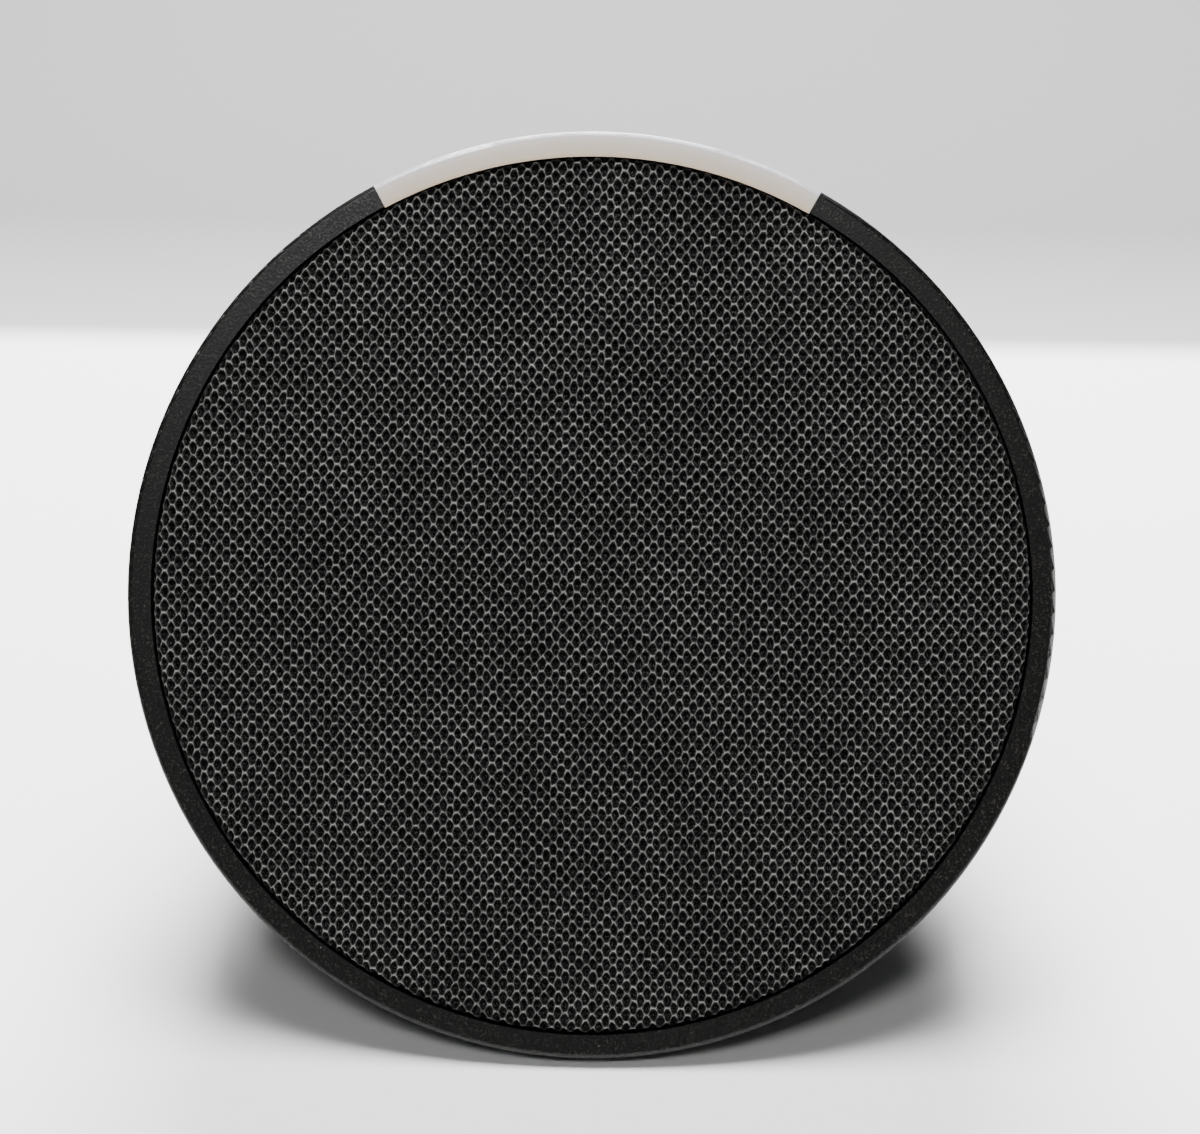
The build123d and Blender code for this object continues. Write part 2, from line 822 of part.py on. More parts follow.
with BuildPart() as voice_coil:
    add(
        washer(
            former_outside,
            former_outside + winding_skin,
            former_back - winding_height,
            winding_height,
        )
    )
write_piece(voice_coil.part, "voice_coil")

spider_turns = 4
spider_steps = 2 * spider_turns
spider_waves = [
    (
        former_outside + (spider_radius - spider_land - former_outside) * i / spider_steps,
        spider_depth - spider_skin / 2 - (spider_wave if i % 2 else 0),
    )
    for i in range(spider_steps + 1)
]
with BuildPart() as spider:
    front_line = [(r, depth - spider_skin / 2) for r, depth in spider_waves]
    back_line = [(r, depth + spider_skin / 2) for r, depth in reversed(spider_waves)]
    add(
        turned(
            *front_line,
            (spider_radius, spider_depth - spider_skin),
            (spider_radius, spider_depth),
            *back_line,
        )
    )
write_piece(spider.part, "spider")

with BuildPart() as top_plate:
    add(washer(plate_bore, plate_radius, plate_front, plate_thickness))
write_piece(top_plate.part, "top_plate")

with BuildPart() as magnet:
    add(washer(magnet_hole_radius, magnet_radius, magnet_front, magnet_thickness))
write_piece(magnet.part, "magnet")

with BuildPart() as pole_yoke:
    pole_radius = coil_radius - pole_gap
    yoke_back = yoke_front + yoke_thickness
    add(
        turned(
            (0, plate_front),
            (pole_radius, plate_front),
            (pole_radius, yoke_front),
            (plate_radius, yoke_front),
            (plate_radius, yoke_back),
            (0, yoke_back),
        )
    )
write_piece(pole_yoke.part, "pole_yoke")

terminal_back = plate_front + terminal_thickness
terminal_middle = -terminal_reach + 2.0
lug_tab_places = [(-lug_spacing / 2, terminal_middle), (lug_spacing / 2, terminal_middle)]
with BuildPart() as terminal_strip:
    with BuildSketch(face.offset(-plate_front)):
        with Locations((0, terminal_middle)):
            Rectangle(terminal_width, 4.0)
    extrude(amount=-terminal_thickness)
write_piece(terminal_strip.part, "terminal_strip")

with BuildPart() as solder_lugs:
    with BuildSketch(face.offset(-terminal_back)):
        with Locations(*lug_tab_places):
            Rectangle(lug_tab_width, lug_tab_thickness)
    extrude(amount=-lug_tab_length)
write_piece(solder_lugs.part, "solder_lugs")

# ================================================================ sealed chamber
seal_back = baffle_back + chamber_seal_thickness
flange_back = seal_back + chamber_flange_thickness
chamber_drop = face_centre.Z - chamber_depth * math.sin(tilt) - bracket_top
chamber_back_radius = chamber_drop / math.cos(tilt) - chamber_floor_gap
board_front = chamber_depth + post_height
board_screw_places = [
    (x, board_rise + y)
    for x in (-board_screw_x, board_screw_x)
    for y in (-board_screw_y, board_screw_y)
]
with BuildPart() as back_chamber:
    add(
        turned(
            (chamber_front_radius - chamber_wall, seal_back),
            (chamber_flange_radius, seal_back),
            (chamber_flange_radius, flange_back),
            (chamber_front_radius, flange_back),
            (chamber_back_radius, chamber_depth),
            (0, chamber_depth),
            (0, chamber_depth - chamber_wall),
            (chamber_back_radius - chamber_wall, chamber_depth - chamber_wall),
        )
    )
    with BuildSketch(face.offset(-seal_back)):
        with Locations(*chamber_screw_places):
            Circle(small_screw_radius + gap)
    extrude(amount=-chamber_flange_thickness, mode=Mode.SUBTRACT)
    with BuildSketch(face.offset(-chamber_depth)):
        with Locations(*board_screw_places):
            Circle(post_radius)
    extrude(amount=-post_height)
    with BuildSketch(face.offset(-board_front)):
        with Locations(*board_screw_places):
            Circle(small_screw_radius)
    extrude(amount=post_height + chamber_wall / 2, mode=Mode.SUBTRACT)
    with BuildSketch(face.offset(-chamber_depth)):
        with Locations((0, grommet_height)):
            Circle(grommet_radius)
    extrude(amount=chamber_wall, mode=Mode.SUBTRACT)
write_piece(back_chamber.part, "back_chamber")

with BuildPart() as chamber_seal:
    seal_inner_radius = chamber_front_radius - chamber_wall
    add(washer(seal_inner_radius, chamber_flange_radius, baffle_back, chamber_seal_thickness))
    with BuildSketch(face.offset(-baffle_back)):
        with Locations(*chamber_screw_places):
            Circle(small_screw_radius + gap)
    extrude(amount=-chamber_seal_thickness, mode=Mode.SUBTRACT)
write_piece(chamber_seal.part, "chamber_seal")

from_behind = Plane(origin=face_centre, x_dir=(1, 0, 0), z_dir=-face_out)
chamber_screw_length = flange_back - baffle_front - 0.5
write_piece(
    screws(
        from_behind.offset(flange_back),
        chamber_screw_places,
        small_screw_radius,
        chamber_screw_length,
        small_head_radius,
        small_head_height,
    ),
    "chamber_screws",
)

wire_places = [(-wire_spacing / 2, grommet_height), (wire_spacing / 2, grommet_height)]
with BuildPart() as wire_grommet:
    for lip_back in (chamber_depth - chamber_wall, chamber_depth + grommet_lip):
        with BuildSketch(face.offset(-lip_back)):
            with Locations((0, grommet_height)):
                Circle(grommet_radius + grommet_lip)
        extrude(amount=grommet_lip)
    with BuildSketch(face.offset(-chamber_depth)):
        with Locations((0, grommet_height)):
            Circle(grommet_radius)
    extrude(amount=chamber_wall)
    with BuildSketch(face.offset(-chamber_depth - grommet_lip)):
        with Locations(*wire_places):
            Circle(wire_radius)
    extrude(amount=chamber_wall + 2 * grommet_lip, mode=Mode.SUBTRACT)
write_piece(wire_grommet.part, "wire_grommet")

# ================================================================ main board stack
board_back = board_front + board_thickness
board_bottom = board_rise - board_height / 2
board_top = board_rise + board_height / 2
can_back = board_back + can_height
pad_back = can_back + pad_thickness
spreader_back = pad_back + spreader_thickness
with BuildPart() as main_board:
    with BuildSketch(face.offset(-board_front)):
        with Locations((0, board_rise)):
            RectangleRounded(board_width, board_height, post_radius)
        with Locations(*board_screw_places):
            Circle(small_screw_radius + gap, mode=Mode.SUBTRACT)
    extrude(amount=-board_thickness)
write_piece(main_board.part, "main_board")

with BuildPart() as shield_can:
    with BuildSketch(face.offset(-board_back)):
        with Locations((can_x, board_rise)):
            RectangleRounded(can_size, can_size, 1.0)
    extrude(amount=-can_height)
    with BuildSketch(face.offset(-board_back)):
        with Locations((can_x, board_rise)):
            Rectangle(can_size - 2 * can_skin, can_size - 2 * can_skin)
    extrude(amount=-can_height + can_skin, mode=Mode.SUBTRACT)
write_piece(shield_can.part, "shield_can")

chip_height = can_height - 2 * can_skin
with BuildPart() as board_chips:
    with BuildSketch(face.offset(-board_back)):
        with Locations((can_x, board_rise + 1.5)):
            Rectangle(10.0, 9.0)
        with Locations((can_x, board_rise - 5.6)):
            Rectangle(9.0, 3.4)
        with Locations((11.0, board_rise + 6.0), (11.0, board_rise - 3.0)):
            Rectangle(5.0, 5.0)
        with Locations((-15.0, board_rise), (-15.0, board_rise + 6.0)):
            Rectangle(3.0, 3.0)
    extrude(amount=-chip_height)
write_piece(board_chips.part, "board_chips")

connector_places = {
    "speaker": (0.0, board_bottom + connector_depth / 2 + 0.4),
    "power": (9.0, board_bottom + connector_depth / 2 + 0.4),
    "buttons": (0.0, board_top - connector_depth / 2 - 0.4),
}
with BuildPart() as board_connectors:
    with BuildSketch(face.offset(-board_back)):
        with Locations(connector_places["speaker"], connector_places["power"]):
            Rectangle(6.0, connector_depth)
        with Locations(connector_places["buttons"]):
            Rectangle(button_ribbon_width + 2.0, connector_depth)
    extrude(amount=-connector_height)
write_piece(board_connectors.part, "board_connectors")

with BuildPart() as antennas:
    antenna_x = button_ribbon_width / 2 + 6.0
    with BuildSketch(face.offset(-board_back)):
        with Locations((-antenna_x, board_top - 1.2), (antenna_x, board_top - 1.2)):
            Rectangle(7.0, 0.5)
    extrude(amount=-connector_height)
write_piece(antennas.part, "antennas")

with BuildPart() as thermal_pad:
    with BuildSketch(face.offset(-can_back)):
        with Locations((can_x, board_rise)):
            Rectangle(pad_size, pad_size)
    extrude(amount=-pad_thickness)
write_piece(thermal_pad.part, "thermal_pad")

with BuildPart() as heat_spreader:
    with BuildSketch(face.offset(-pad_back)):
        with Locations((0, board_rise)):
            RectangleRounded(spreader_width, spreader_height, post_radius)
    extrude(amount=-spreader_thickness)
    with BuildSketch(face.offset(-board_back)):
        with Locations(*board_screw_places):
            Circle(post_radius)
    extrude(amount=board_back - pad_back)
    with BuildSketch(face.offset(-board_back)):
        with Locations(*board_screw_places):
            Circle(small_screw_radius + gap)
    extrude(amount=board_back - spreader_back, mode=Mode.SUBTRACT)
write_piece(heat_spreader.part, "heat_spreader")

write_piece(
    screws(
        from_behind.offset(spreader_back),
        [(x, -y) for x, y in board_screw_places],
        small_screw_radius,
        spreader_back - chamber_depth + 0.5,
        small_head_radius,
        small_head_height,
    ),
    "board_screws",
)


def face_point(x, up, depth):
    """A point given in the face's frame, as a point of the object's frame."""
    return face.from_local_coords((x, up, -depth))


lug_end = terminal_back + lug_tab_length
wire_depth = board_back + connector_height / 2
connector_bottom = board_bottom + 0.4
with BuildPart() as speaker_wires:
    for side in (-1, 1):
        add(
            wire(
                [
                    face_point(side * lug_spacing / 2, terminal_middle, lug_end),
                    face_point(side * lug_spacing / 2, terminal_middle, lug_end + 3.0),
                    face_point(side * wire_spacing / 2, grommet_height, chamber_depth - 5.0),
                    face_point(side * wire_spacing / 2, grommet_height, wire_depth),
                    face_point(side * wire_spacing / 2, connector_bottom, wire_depth),
                ],
                1.2,
            )
        )
write_piece(speaker_wires.part, "speaker_wires")

# ================================================================ buttons
button_floor = -button_height
stem_end = button_floor - plunger_stem
switch_floor = top_board_drop + stem_end - plunger_length - button_travel - plunger_reserve


def icon_outline(name):
    """The mark sunk into a button: a minus, a plus or a microphone."""
    if name == "mic_mute":
        with Locations((0, -0.5)):
            SlotOverall(2.6, 1.4, rotation=90)
        with Locations((0, 1.7)):
            Rectangle(2.2, 0.5)
    else:
        Rectangle(icon_length, icon_stroke)
    if name == "volume_up":
        Rectangle(icon_stroke, icon_length)


for name, x in button_places.items():
    with BuildPart() as icon:
        with BuildSketch(crown.shift_origin(crown.from_local_coords((x, 0, 0)))):
            icon_outline(name)
        extrude(amount=button_height, both=True)
        add(body_plug(icon_depth - button_proud, 0), mode=Mode.SUBTRACT)

    with BuildPart() as skirt:
        with BuildSketch(crown.offset(button_floor)):
            with Locations((x, 0)):
                Circle(button_radius + button_lip)
        extrude(amount=button_height)
        add(body_plug(wall + button_lip_gap, 0), mode=Mode.INTERSECT)

    with BuildPart() as pocket:
        with BuildSketch(crown.offset(button_floor)):
            with Locations((x, 0)):
                Circle(button_radius - button_wall)
                Circle(plunger_stem_radius, mode=Mode.SUBTRACT)
        extrude(amount=button_height)
        add(body_plug(button_skin, 0), mode=Mode.INTERSECT)

    with BuildPart() as button:
        with BuildSketch(crown.offset(button_floor)):
            with Locations((x, 0)):
                Circle(button_radius)
        extrude(amount=2 * button_height)
        add(body_plug(-button_proud, 0), mode=Mode.INTERSECT)
        add(skirt.part)
        add(pocket.part, mode=Mode.SUBTRACT)
        with BuildSketch(crown.offset(button_floor)):
            with Locations((x, 0)):
                Circle(plunger_stem_radius)
        extrude(amount=-plunger_stem)
        add(icon.part, mode=Mode.SUBTRACT)
    write_piece(button.part, f"{name}_button")

    with BuildPart() as plunger:
        with BuildSketch(crown.offset(stem_end)):
            with Locations((x, 0)):
                Circle(plunger_radius)
        extrude(amount=-plunger_length)
    write_piece(plunger.part, f"{name}_plunger")

with BuildPart() as button_switches:
    with BuildSketch(crown_board):
        with Locations(*[(x, 0) for x in button_places.values()]):
            Rectangle(switch_size, switch_size)
    extrude(amount=switch_height)
    with BuildSketch(crown_board.offset(switch_height)):
        with Locations(*[(x, 0) for x in button_places.values()]):
            Circle(plunger_radius + plunger_gap)
    extrude(amount=switch_floor - switch_height, mode=Mode.SUBTRACT)
write_piece(button_switches.part, "button_switches")

with BuildPart() as button_board:
    with BuildSketch(crown_board):
        with Locations((0, top_board_back)):
            RectangleRounded(top_board_length, top_board_width, 1.5)
        with Locations(*top_boss_places):
            Circle(small_screw_radius + gap, mode=Mode.SUBTRACT)
        with Locations(*mic_places):
            Circle(mic_hole_radius, mode=Mode.SUBTRACT)
    extrude(amount=-top_board_thickness)
write_piece(button_board.part, "button_board")

with BuildPart() as microphones:
    with BuildSketch(crown_board.offset(-top_board_thickness)):
        with Locations(*mic_places):
            Rectangle(mic_can_width, mic_can_length)
    extrude(amount=-mic_can_height)
write_piece(microphones.part, "microphones")

with BuildPart() as mic_seals:
    with BuildSketch(crown_board):
        with Locations(*mic_places):
            Circle(mic_seal_radius)
            Circle(mic_hole_radius, mode=Mode.SUBTRACT)
    extrude(amount=top_board_drop)
    add(body_plug(wall + screw_slack, 0), mode=Mode.INTERSECT)
write_piece(mic_seals.part, "mic_seals")

crown_below = Plane(
    origin=crown_board.offset(-top_board_thickness).origin, x_dir=(1, 0, 0), z_dir=-crown.z_dir
)
write_piece(
    screws(
        crown_below,
        [(x, -y) for x, y in top_boss_places],
        small_screw_radius,
        top_board_drop - wall - 2.0,
        small_head_radius,
        small_head_height,
    ),
    "button_board_screws",
)


def crown_point(y, z):
    """A point of the button row's middle section, as (height, out) of the profile plane."""
    place = face.to_local_coords(crown.from_local_coords((0, y, z)))
    return (place.Y, place.Z)


ribbon_level = -top_board_drop + ribbon_thickness / 2
with BuildPart() as led_ribbon:
    ribbon_height = led_board_radius + led_ribbon_depth
    add(
        ribbon(
            [
                (ribbon_height, -baffle_front),
                (ribbon_height, -baffle_back - 2 * gap),
                crown_point(-2.9, ribbon_level),
                crown_point(-1.0, ribbon_level),
            ],
            led_ribbon_width,
            0.6,
            led_ribbon_x,
        )
    )
write_piece(led_ribbon.part, "led_ribbon")

with BuildPart() as button_ribbon:
    board_edge = top_board_back + top_board_width / 2
    board_middle = -top_board_drop - top_board_thickness / 2
    add(
        ribbon(
            [
                crown_point(board_edge, board_middle),
                crown_point(board_edge + 2.5, board_middle),
                (chamber_back_radius - button_ribbon_inset, -wire_depth),
                (board_top - 0.4, -wire_depth),
            ],
            button_ribbon_width,
            1.5,
        )
    )
write_piece(button_ribbon.part, "button_ribbon")

# ================================================================ power socket
socket_nose = socket_face.offset(-socket_floor)
socket_front = socket_face.offset(-socket_floor - socket_body_length)
with BuildPart() as power_socket:
    with BuildSketch(socket_front):
        Rectangle(socket_body_width, socket_body_width)
    extrude(amount=socket_body_length)
    with BuildSketch(socket_nose):
        Circle(socket_nose_radius)
    extrude(amount=socket_floor)
    with BuildSketch(socket_face):
        Circle(socket_bore_radius)
    extrude(amount=-socket_bore_depth, mode=Mode.SUBTRACT)
    with BuildSketch(socket_face.offset(-socket_bore_depth)):
        Circle(socket_bore_radius + socket_sleeve_skin)
    extrude(amount=socket_sleeve_length, mode=Mode.SUBTRACT)
write_piece(power_socket.part, "power_socket")

with BuildPart() as socket_sleeve:
    with BuildSketch(socket_face.offset(-socket_bore_depth)):
        Circle(socket_bore_radius + socket_sleeve_skin)
        Circle(socket_bore_radius, mode=Mode.SUBTRACT)
    extrude(amount=socket_sleeve_length)
write_piece(socket_sleeve.part, "socket_sleeve")

with BuildPart() as socket_pin:
    with BuildSketch(socket_face.offset(-socket_bore_depth)):
        Circle(socket_pin_radius)
    extrude(amount=socket_bore_depth - socket_pin_recess)
write_piece(socket_pin.part, "socket_pin")

with BuildPart() as power_wires:
    for side in (-1, 1):
        start_x = side * wire_spacing / 2
        end_x = connector_places["power"][0] + side * wire_spacing / 2
        low = socket_height - socket_wire_drop
        add(
            wire(
                [
                    (start_x, socket_front_y, low),
                    (start_x, socket_front_y - 3.5 + side, low),
                    face_point(end_x, connector_bottom - 3.0, wire_depth),
                    face_point(end_x, connector_bottom, wire_depth),
                ],
                0.8,
            )
        )
write_piece(power_wires.part, "power_wires")

# ================================================================ base
cradle_length = socket_body_length / 2
bracket_front = base_screw_front - bracket_margin
bracket_back = base_screw_back + bracket_margin
tongue_back = socket_front_y + cradle_length
with BuildPart() as base_bracket:
    with BuildSketch(Plane.XY.offset(boss_top)):
        with Locations((0, (bracket_front + bracket_back) / 2)):
            bracket_width = 2 * (base_screw_x + bracket_margin)
            RectangleRounded(bracket_width, bracket_back - bracket_front, bracket_margin - 0.5)
        with Locations((0, (bracket_back + tongue_back) / 2 - bracket_margin / 2)):
            Rectangle(bracket_tongue_width, tongue_back - bracket_back + bracket_margin)
    extrude(amount=bracket_thickness)
    with BuildSketch(Plane.XY.offset(bracket_top)):
        with Locations(*base_screw_places):
            Circle(bracket_boss_radius)
    extrude(amount=bracket_boss_height)
    with BuildSketch(Plane.XY.offset(bracket_top)):
        with Locations((0, socket_front_y + cradle_length / 2)):
            Rectangle(socket_body_width, cradle_length)
    extrude(amount=socket_height - socket_body_width / 2 - bracket_top)
    with BuildSketch(Plane.XY.offset(boss_top)):
        with Locations(*base_screw_places):
            Circle(screw_radius)
    extrude(amount=bracket_thickness + bracket_boss_height, mode=Mode.SUBTRACT)
write_piece(base_bracket.part, "base_bracket")

screw_seat = foot_height + base_head_depth
write_piece(
    screws(
        Plane(origin=(0, 0, screw_seat), x_dir=(1, 0, 0), z_dir=(0, 0, -1)),
        [(x, -y) for x, y in base_screw_places],
        screw_radius,
        bracket_top + bracket_boss_height - screw_seat - 0.5,
        screw_head_radius,
        screw_head_height,
    ),
    "base_screws",
)

with BuildPart() as foot_pad:
    with BuildSketch(Plane.XY):
        Ellipse(foot_length / 2, foot_width / 2)
    extrude(amount=foot_height)
    fillet(foot_pad.edges().sort_by(Axis.Z)[0], foot_edge)
write_piece(foot_pad.part, "foot_pad")
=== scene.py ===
"""Looks of a half-dome smart speaker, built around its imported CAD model.

Metres throughout. The speaker's face leans back, so places on it are given in its own axes: to the
side, up along the face, and straight out of it, from the middle of the ring's front edge.
"""

import json

import bpy
import numpy as np
from mathutils import Matrix, Vector


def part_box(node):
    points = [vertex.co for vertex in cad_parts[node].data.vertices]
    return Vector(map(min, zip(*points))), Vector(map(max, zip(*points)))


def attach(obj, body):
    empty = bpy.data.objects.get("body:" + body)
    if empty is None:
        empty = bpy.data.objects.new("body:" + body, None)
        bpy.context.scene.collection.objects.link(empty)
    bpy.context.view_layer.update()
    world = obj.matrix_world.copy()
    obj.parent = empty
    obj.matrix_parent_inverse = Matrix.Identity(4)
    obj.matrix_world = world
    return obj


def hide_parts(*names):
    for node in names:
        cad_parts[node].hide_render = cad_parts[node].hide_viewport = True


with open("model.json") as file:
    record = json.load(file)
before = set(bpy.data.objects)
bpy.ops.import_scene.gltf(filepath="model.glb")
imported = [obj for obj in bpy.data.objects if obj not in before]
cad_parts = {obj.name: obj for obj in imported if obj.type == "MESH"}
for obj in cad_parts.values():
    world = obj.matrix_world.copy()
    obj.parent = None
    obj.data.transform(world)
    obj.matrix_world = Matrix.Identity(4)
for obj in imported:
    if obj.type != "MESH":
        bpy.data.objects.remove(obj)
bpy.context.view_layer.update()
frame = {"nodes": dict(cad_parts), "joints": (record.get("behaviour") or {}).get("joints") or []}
nodes = frame["nodes"]
MM = 0.001

# ================================================================ how the face stands
# The loudspeaker's cone slides straight out of the face, so its joint gives the face's direction.
# The magnet is round about the same axis, and the ring's front edge is where the face begins.
side = np.array([1.0, 0.0, 0.0])
slides = {joint["name"]: joint for joint in frame["joints"]}
out = np.array(slides["cone_travel"]["axis"], float)
out /= np.linalg.norm(out)
up = np.cross(out, side)


def corners_of(node):
    """All the corners of a CAD node's mesh, one row each."""
    mesh = nodes[node].data
    flat = np.empty(len(mesh.vertices) * 3)
    mesh.vertices.foreach_get("co", flat)
    return flat.reshape(-1, 3)


magnet_middle = np.mean(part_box("magnet"), axis=0)
ring_front = (corners_of("front_ring") @ out).max()
face_centre = magnet_middle + out * (ring_front - magnet_middle @ out)
ring_radius = np.ptp(corners_of("front_ring")[:, 0]) / 2

# ================================================================ camera
# It looks at the face from arm's length, nearly along the face's axis.
camera_distance = 0.42
camera_lift = np.radians(3.0)  # above the face's axis
camera_turn = np.radians(0.6)  # to the right of it
camera_roll = np.radians(0.85)
view_width = 0.1278  # across the picture, at the face
aim_side = 0.94 * MM
aim_up = 3.3 * MM

line = out * np.cos(camera_lift) + up * np.sin(camera_lift)
line = line * np.cos(camera_turn) + side * np.sin(camera_turn)
sideways = np.cross(up, line)
sideways /= np.linalg.norm(sideways)
camera_right = sideways * np.cos(camera_roll) + np.cross(line, sideways) * np.sin(camera_roll)
camera_up = np.cross(line, camera_right)
camera_place = face_centre + line * camera_distance + camera_right * aim_side + camera_up * aim_up
stand = np.eye(4)
stand[:3] = np.stack([camera_right, camera_up, line, camera_place], axis=1)
camera = bpy.data.objects.new("camera", bpy.data.cameras.new("camera"))
bpy.context.scene.collection.objects.link(camera)
camera.matrix_world = Matrix(stand.tolist())
camera.data.lens_unit = "FOV"
camera.data.angle = 2 * np.arctan(view_width / 2 / camera_distance)
camera.data.clip_start = 0.01
bpy.context.scene.camera = camera

# ================================================================ table
# A wide flat sheet of paper, white under the speaker; painted shade greys it towards the back and
# the front, where less light would reach it.
paper_size = 2.4
white_from = -0.075  # the white stretch, along Y
white_to = 0.148
fade = 0.05  # past each end of it
paper_tint = np.array((1.0, 1.0, 0.992))


def add_mesh(name, points, faces):
    """A smooth mesh object from an array of points and a list of faces."""
    mesh = bpy.data.meshes.new(name)
    mesh.from_pydata(np.asarray(points).reshape(-1, 3).tolist(), [], faces)
    mesh.polygons.foreach_set("use_smooth", np.full(len(mesh.polygons), True))
    mesh.update()
    piece = bpy.data.objects.new(name, mesh)
    bpy.context.scene.collection.objects.link(piece)
    return piece


def new_finish(name, roughness, metallic=0.0, specular=0.5):
    """A new material, as (material, node tree, shader)."""
    material = bpy.data.materials.new(name)
    material.use_nodes = True
    shader = material.node_tree.nodes["Principled BSDF"]
    shader.inputs["Roughness"].default_value = roughness
    shader.inputs["Metallic"].default_value = metallic
    shader.inputs["Specular IOR Level"].default_value = specular
    return material, material.node_tree, shader


def piece_places(tree, stretch=(1, 1, 1), turn=(0, 0, 0)):
    """The piece's own coordinates, turned and stretched."""
    where = tree.nodes.new("ShaderNodeTexCoord")
    mapping = tree.nodes.new("ShaderNodeMapping")
    mapping.inputs["Rotation"].default_value = turn
    mapping.inputs["Scale"].default_value = stretch
    tree.links.new(where.outputs["Object"], mapping.inputs["Vector"])
    return mapping.outputs["Vector"]


def spread(tree, value, low, high, to_low=0.0, to_high=1.0):
    """Takes low..high to to_low..to_high, and no further."""
    node = tree.nodes.new("ShaderNodeMapRange")
    for socket, number in zip(list(node.inputs)[1:5], (low, high, to_low, to_high)):
        socket.default_value = number
    tree.links.new(value, node.inputs["Value"])
    return node.outputs["Result"]


def shades(tree, value, stops):
    """A colour ramp of (position, colour) stops, where a single number is a grey."""
    ramp = tree.nodes.new("ShaderNodeValToRGB")
    while len(ramp.color_ramp.elements) < len(stops):
        ramp.color_ramp.elements.new(0.5)
    for element, (position, colour) in zip(ramp.color_ramp.elements, stops):
        element.position = position
        element.color = (*np.broadcast_to(colour, 3), 1)
    tree.links.new(value, ramp.inputs["Fac"])
    return ramp.outputs["Color"]


def paper_finish():
    """Matt paper, white between two places along Y, with painted shade greying it past them."""
    material, tree, shader = new_finish("table_paper", 0.9, specular=0.1)
    apart = tree.nodes.new("ShaderNodeSeparateXYZ")
    tree.links.new(piece_places(tree), apart.inputs["Vector"])
    along = spread(tree, apart.outputs["Y"], white_from - fade, white_to + fade)
    faded = fade / (white_to - white_from + 2 * fade)
    # painted shade: the paper's white falls to grey past each end of the white stretch
    shade_greys = [(0.0, 0.30), (faded, 0.82), (1 - faded, 0.80), (1 - 0.85 * faded, 0.28), (1.0, 0.17)]
    stops = [(position, grey * paper_tint) for position, grey in shade_greys]
    tree.links.new(shades(tree, along, stops), shader.inputs["Base Color"])
    return material


corners = np.array([[-1, -1, 0], [1, -1, 0], [1, 1, 0], [-1, 1, 0]]) * paper_size / 2
paper = add_mesh("table_paper", corners, [(0, 1, 2, 3)])
paper.data.materials.append(paper_finish())

# ================================================================ lights
# One broad light overhead, a second high behind, which throws the contact shadow forwards,
# a third high in front, which puts the sheen on the top of the ring, and a dim room.


def soft_light(name, place, target, size, power):
    """A square light of size metres and power watts that points at a target."""
    lamp = bpy.data.lights.new(name, "AREA")
    lamp.shape = "SQUARE"
    lamp.size = size
    lamp.energy = power
    away = np.subtract(place, target)
    away /= np.linalg.norm(away)
    across = np.cross([0.0, 1.0, 0.0], away)
    across /= np.linalg.norm(across)
    stand = np.eye(4)
    stand[:3] = np.stack([across, np.cross(away, across), away, place], axis=1)
    light = bpy.data.objects.new(name, lamp)
    light.matrix_world = Matrix(stand.tolist())
    bpy.context.scene.collection.objects.link(light)


soft_light("overhead_panel", (0.0, 0.07, 0.70), (0.0, 0.05, 0.0), 0.40, 14.0)
soft_light("back_panel", (0.0, 0.40, 0.40), face_centre, 0.28, 13.0)
soft_light("front_panel", (-0.07, -0.45, 0.46), face_centre, 0.14, 1.25)
room = bpy.data.worlds.new("room")
room.use_nodes = True
room.node_tree.nodes["Background"].inputs["Color"].default_value = (0.96, 0.97, 1.0, 1)
room.node_tree.nodes["Background"].inputs["Strength"].default_value = 0.05
bpy.context.scene.world = room

# ================================================================ speaker cloth
# A charcoal spacer knit of polyester yarn, drawn tight over the grille frame, wrapped round its
# edge and glued behind. Its face is an open net of six-sided cells; its back is closed.
column_pitch = 0.735 * MM
cell_height = 1.54 * MM
half_bridge = 0.17 * MM  # half of the level yarn between two slanting ones
net_depth = 0.45 * MM  # of a cell's flat bottom
cloth_thickness = 0.68 * MM
cloth_shoulder = 0.55 * MM
cloth_fluff = 0.07 * MM  # the yarn's surface, outside the cloth's solid
edge_drop = 0.25 * MM  # edge of the crowned part, behind the ring's front
hem_lift = 0.1 * MM  # off the ring's shelf
yarn_share = 0.165  # half the yarn's width, as a share of the way to a cell's bottom
flank_share = 0.46  # foot of a cell's side, as the same share
knot_play = 0.055 * MM
knot_sink = 0.03 * MM
row_drift = 0.1 * MM
hem_margin = 0.03 * MM  # from the hem to the nearest knot that is not on it
cell_sag = 0.09 * MM  # a cell's bottom lies this much below its middle
yarn_rounding = 0.08 * MM  # the yarn's inner edge lies this much deeper than its crest

cloth_corners = corners_of("grille_cloth") - face_centre
cloth_radius = np.ptp(cloth_corners[:, 0]) / 2 + cloth_fluff
cloth_crown = (cloth_corners @ out).max()
cloth_hem = (cloth_corners @ out).min() + hem_lift
cap_rise = cloth_crown + edge_drop
cap_sphere = (cloth_radius**2 + cap_rise**2) / (2 * cap_rise)  # its radius


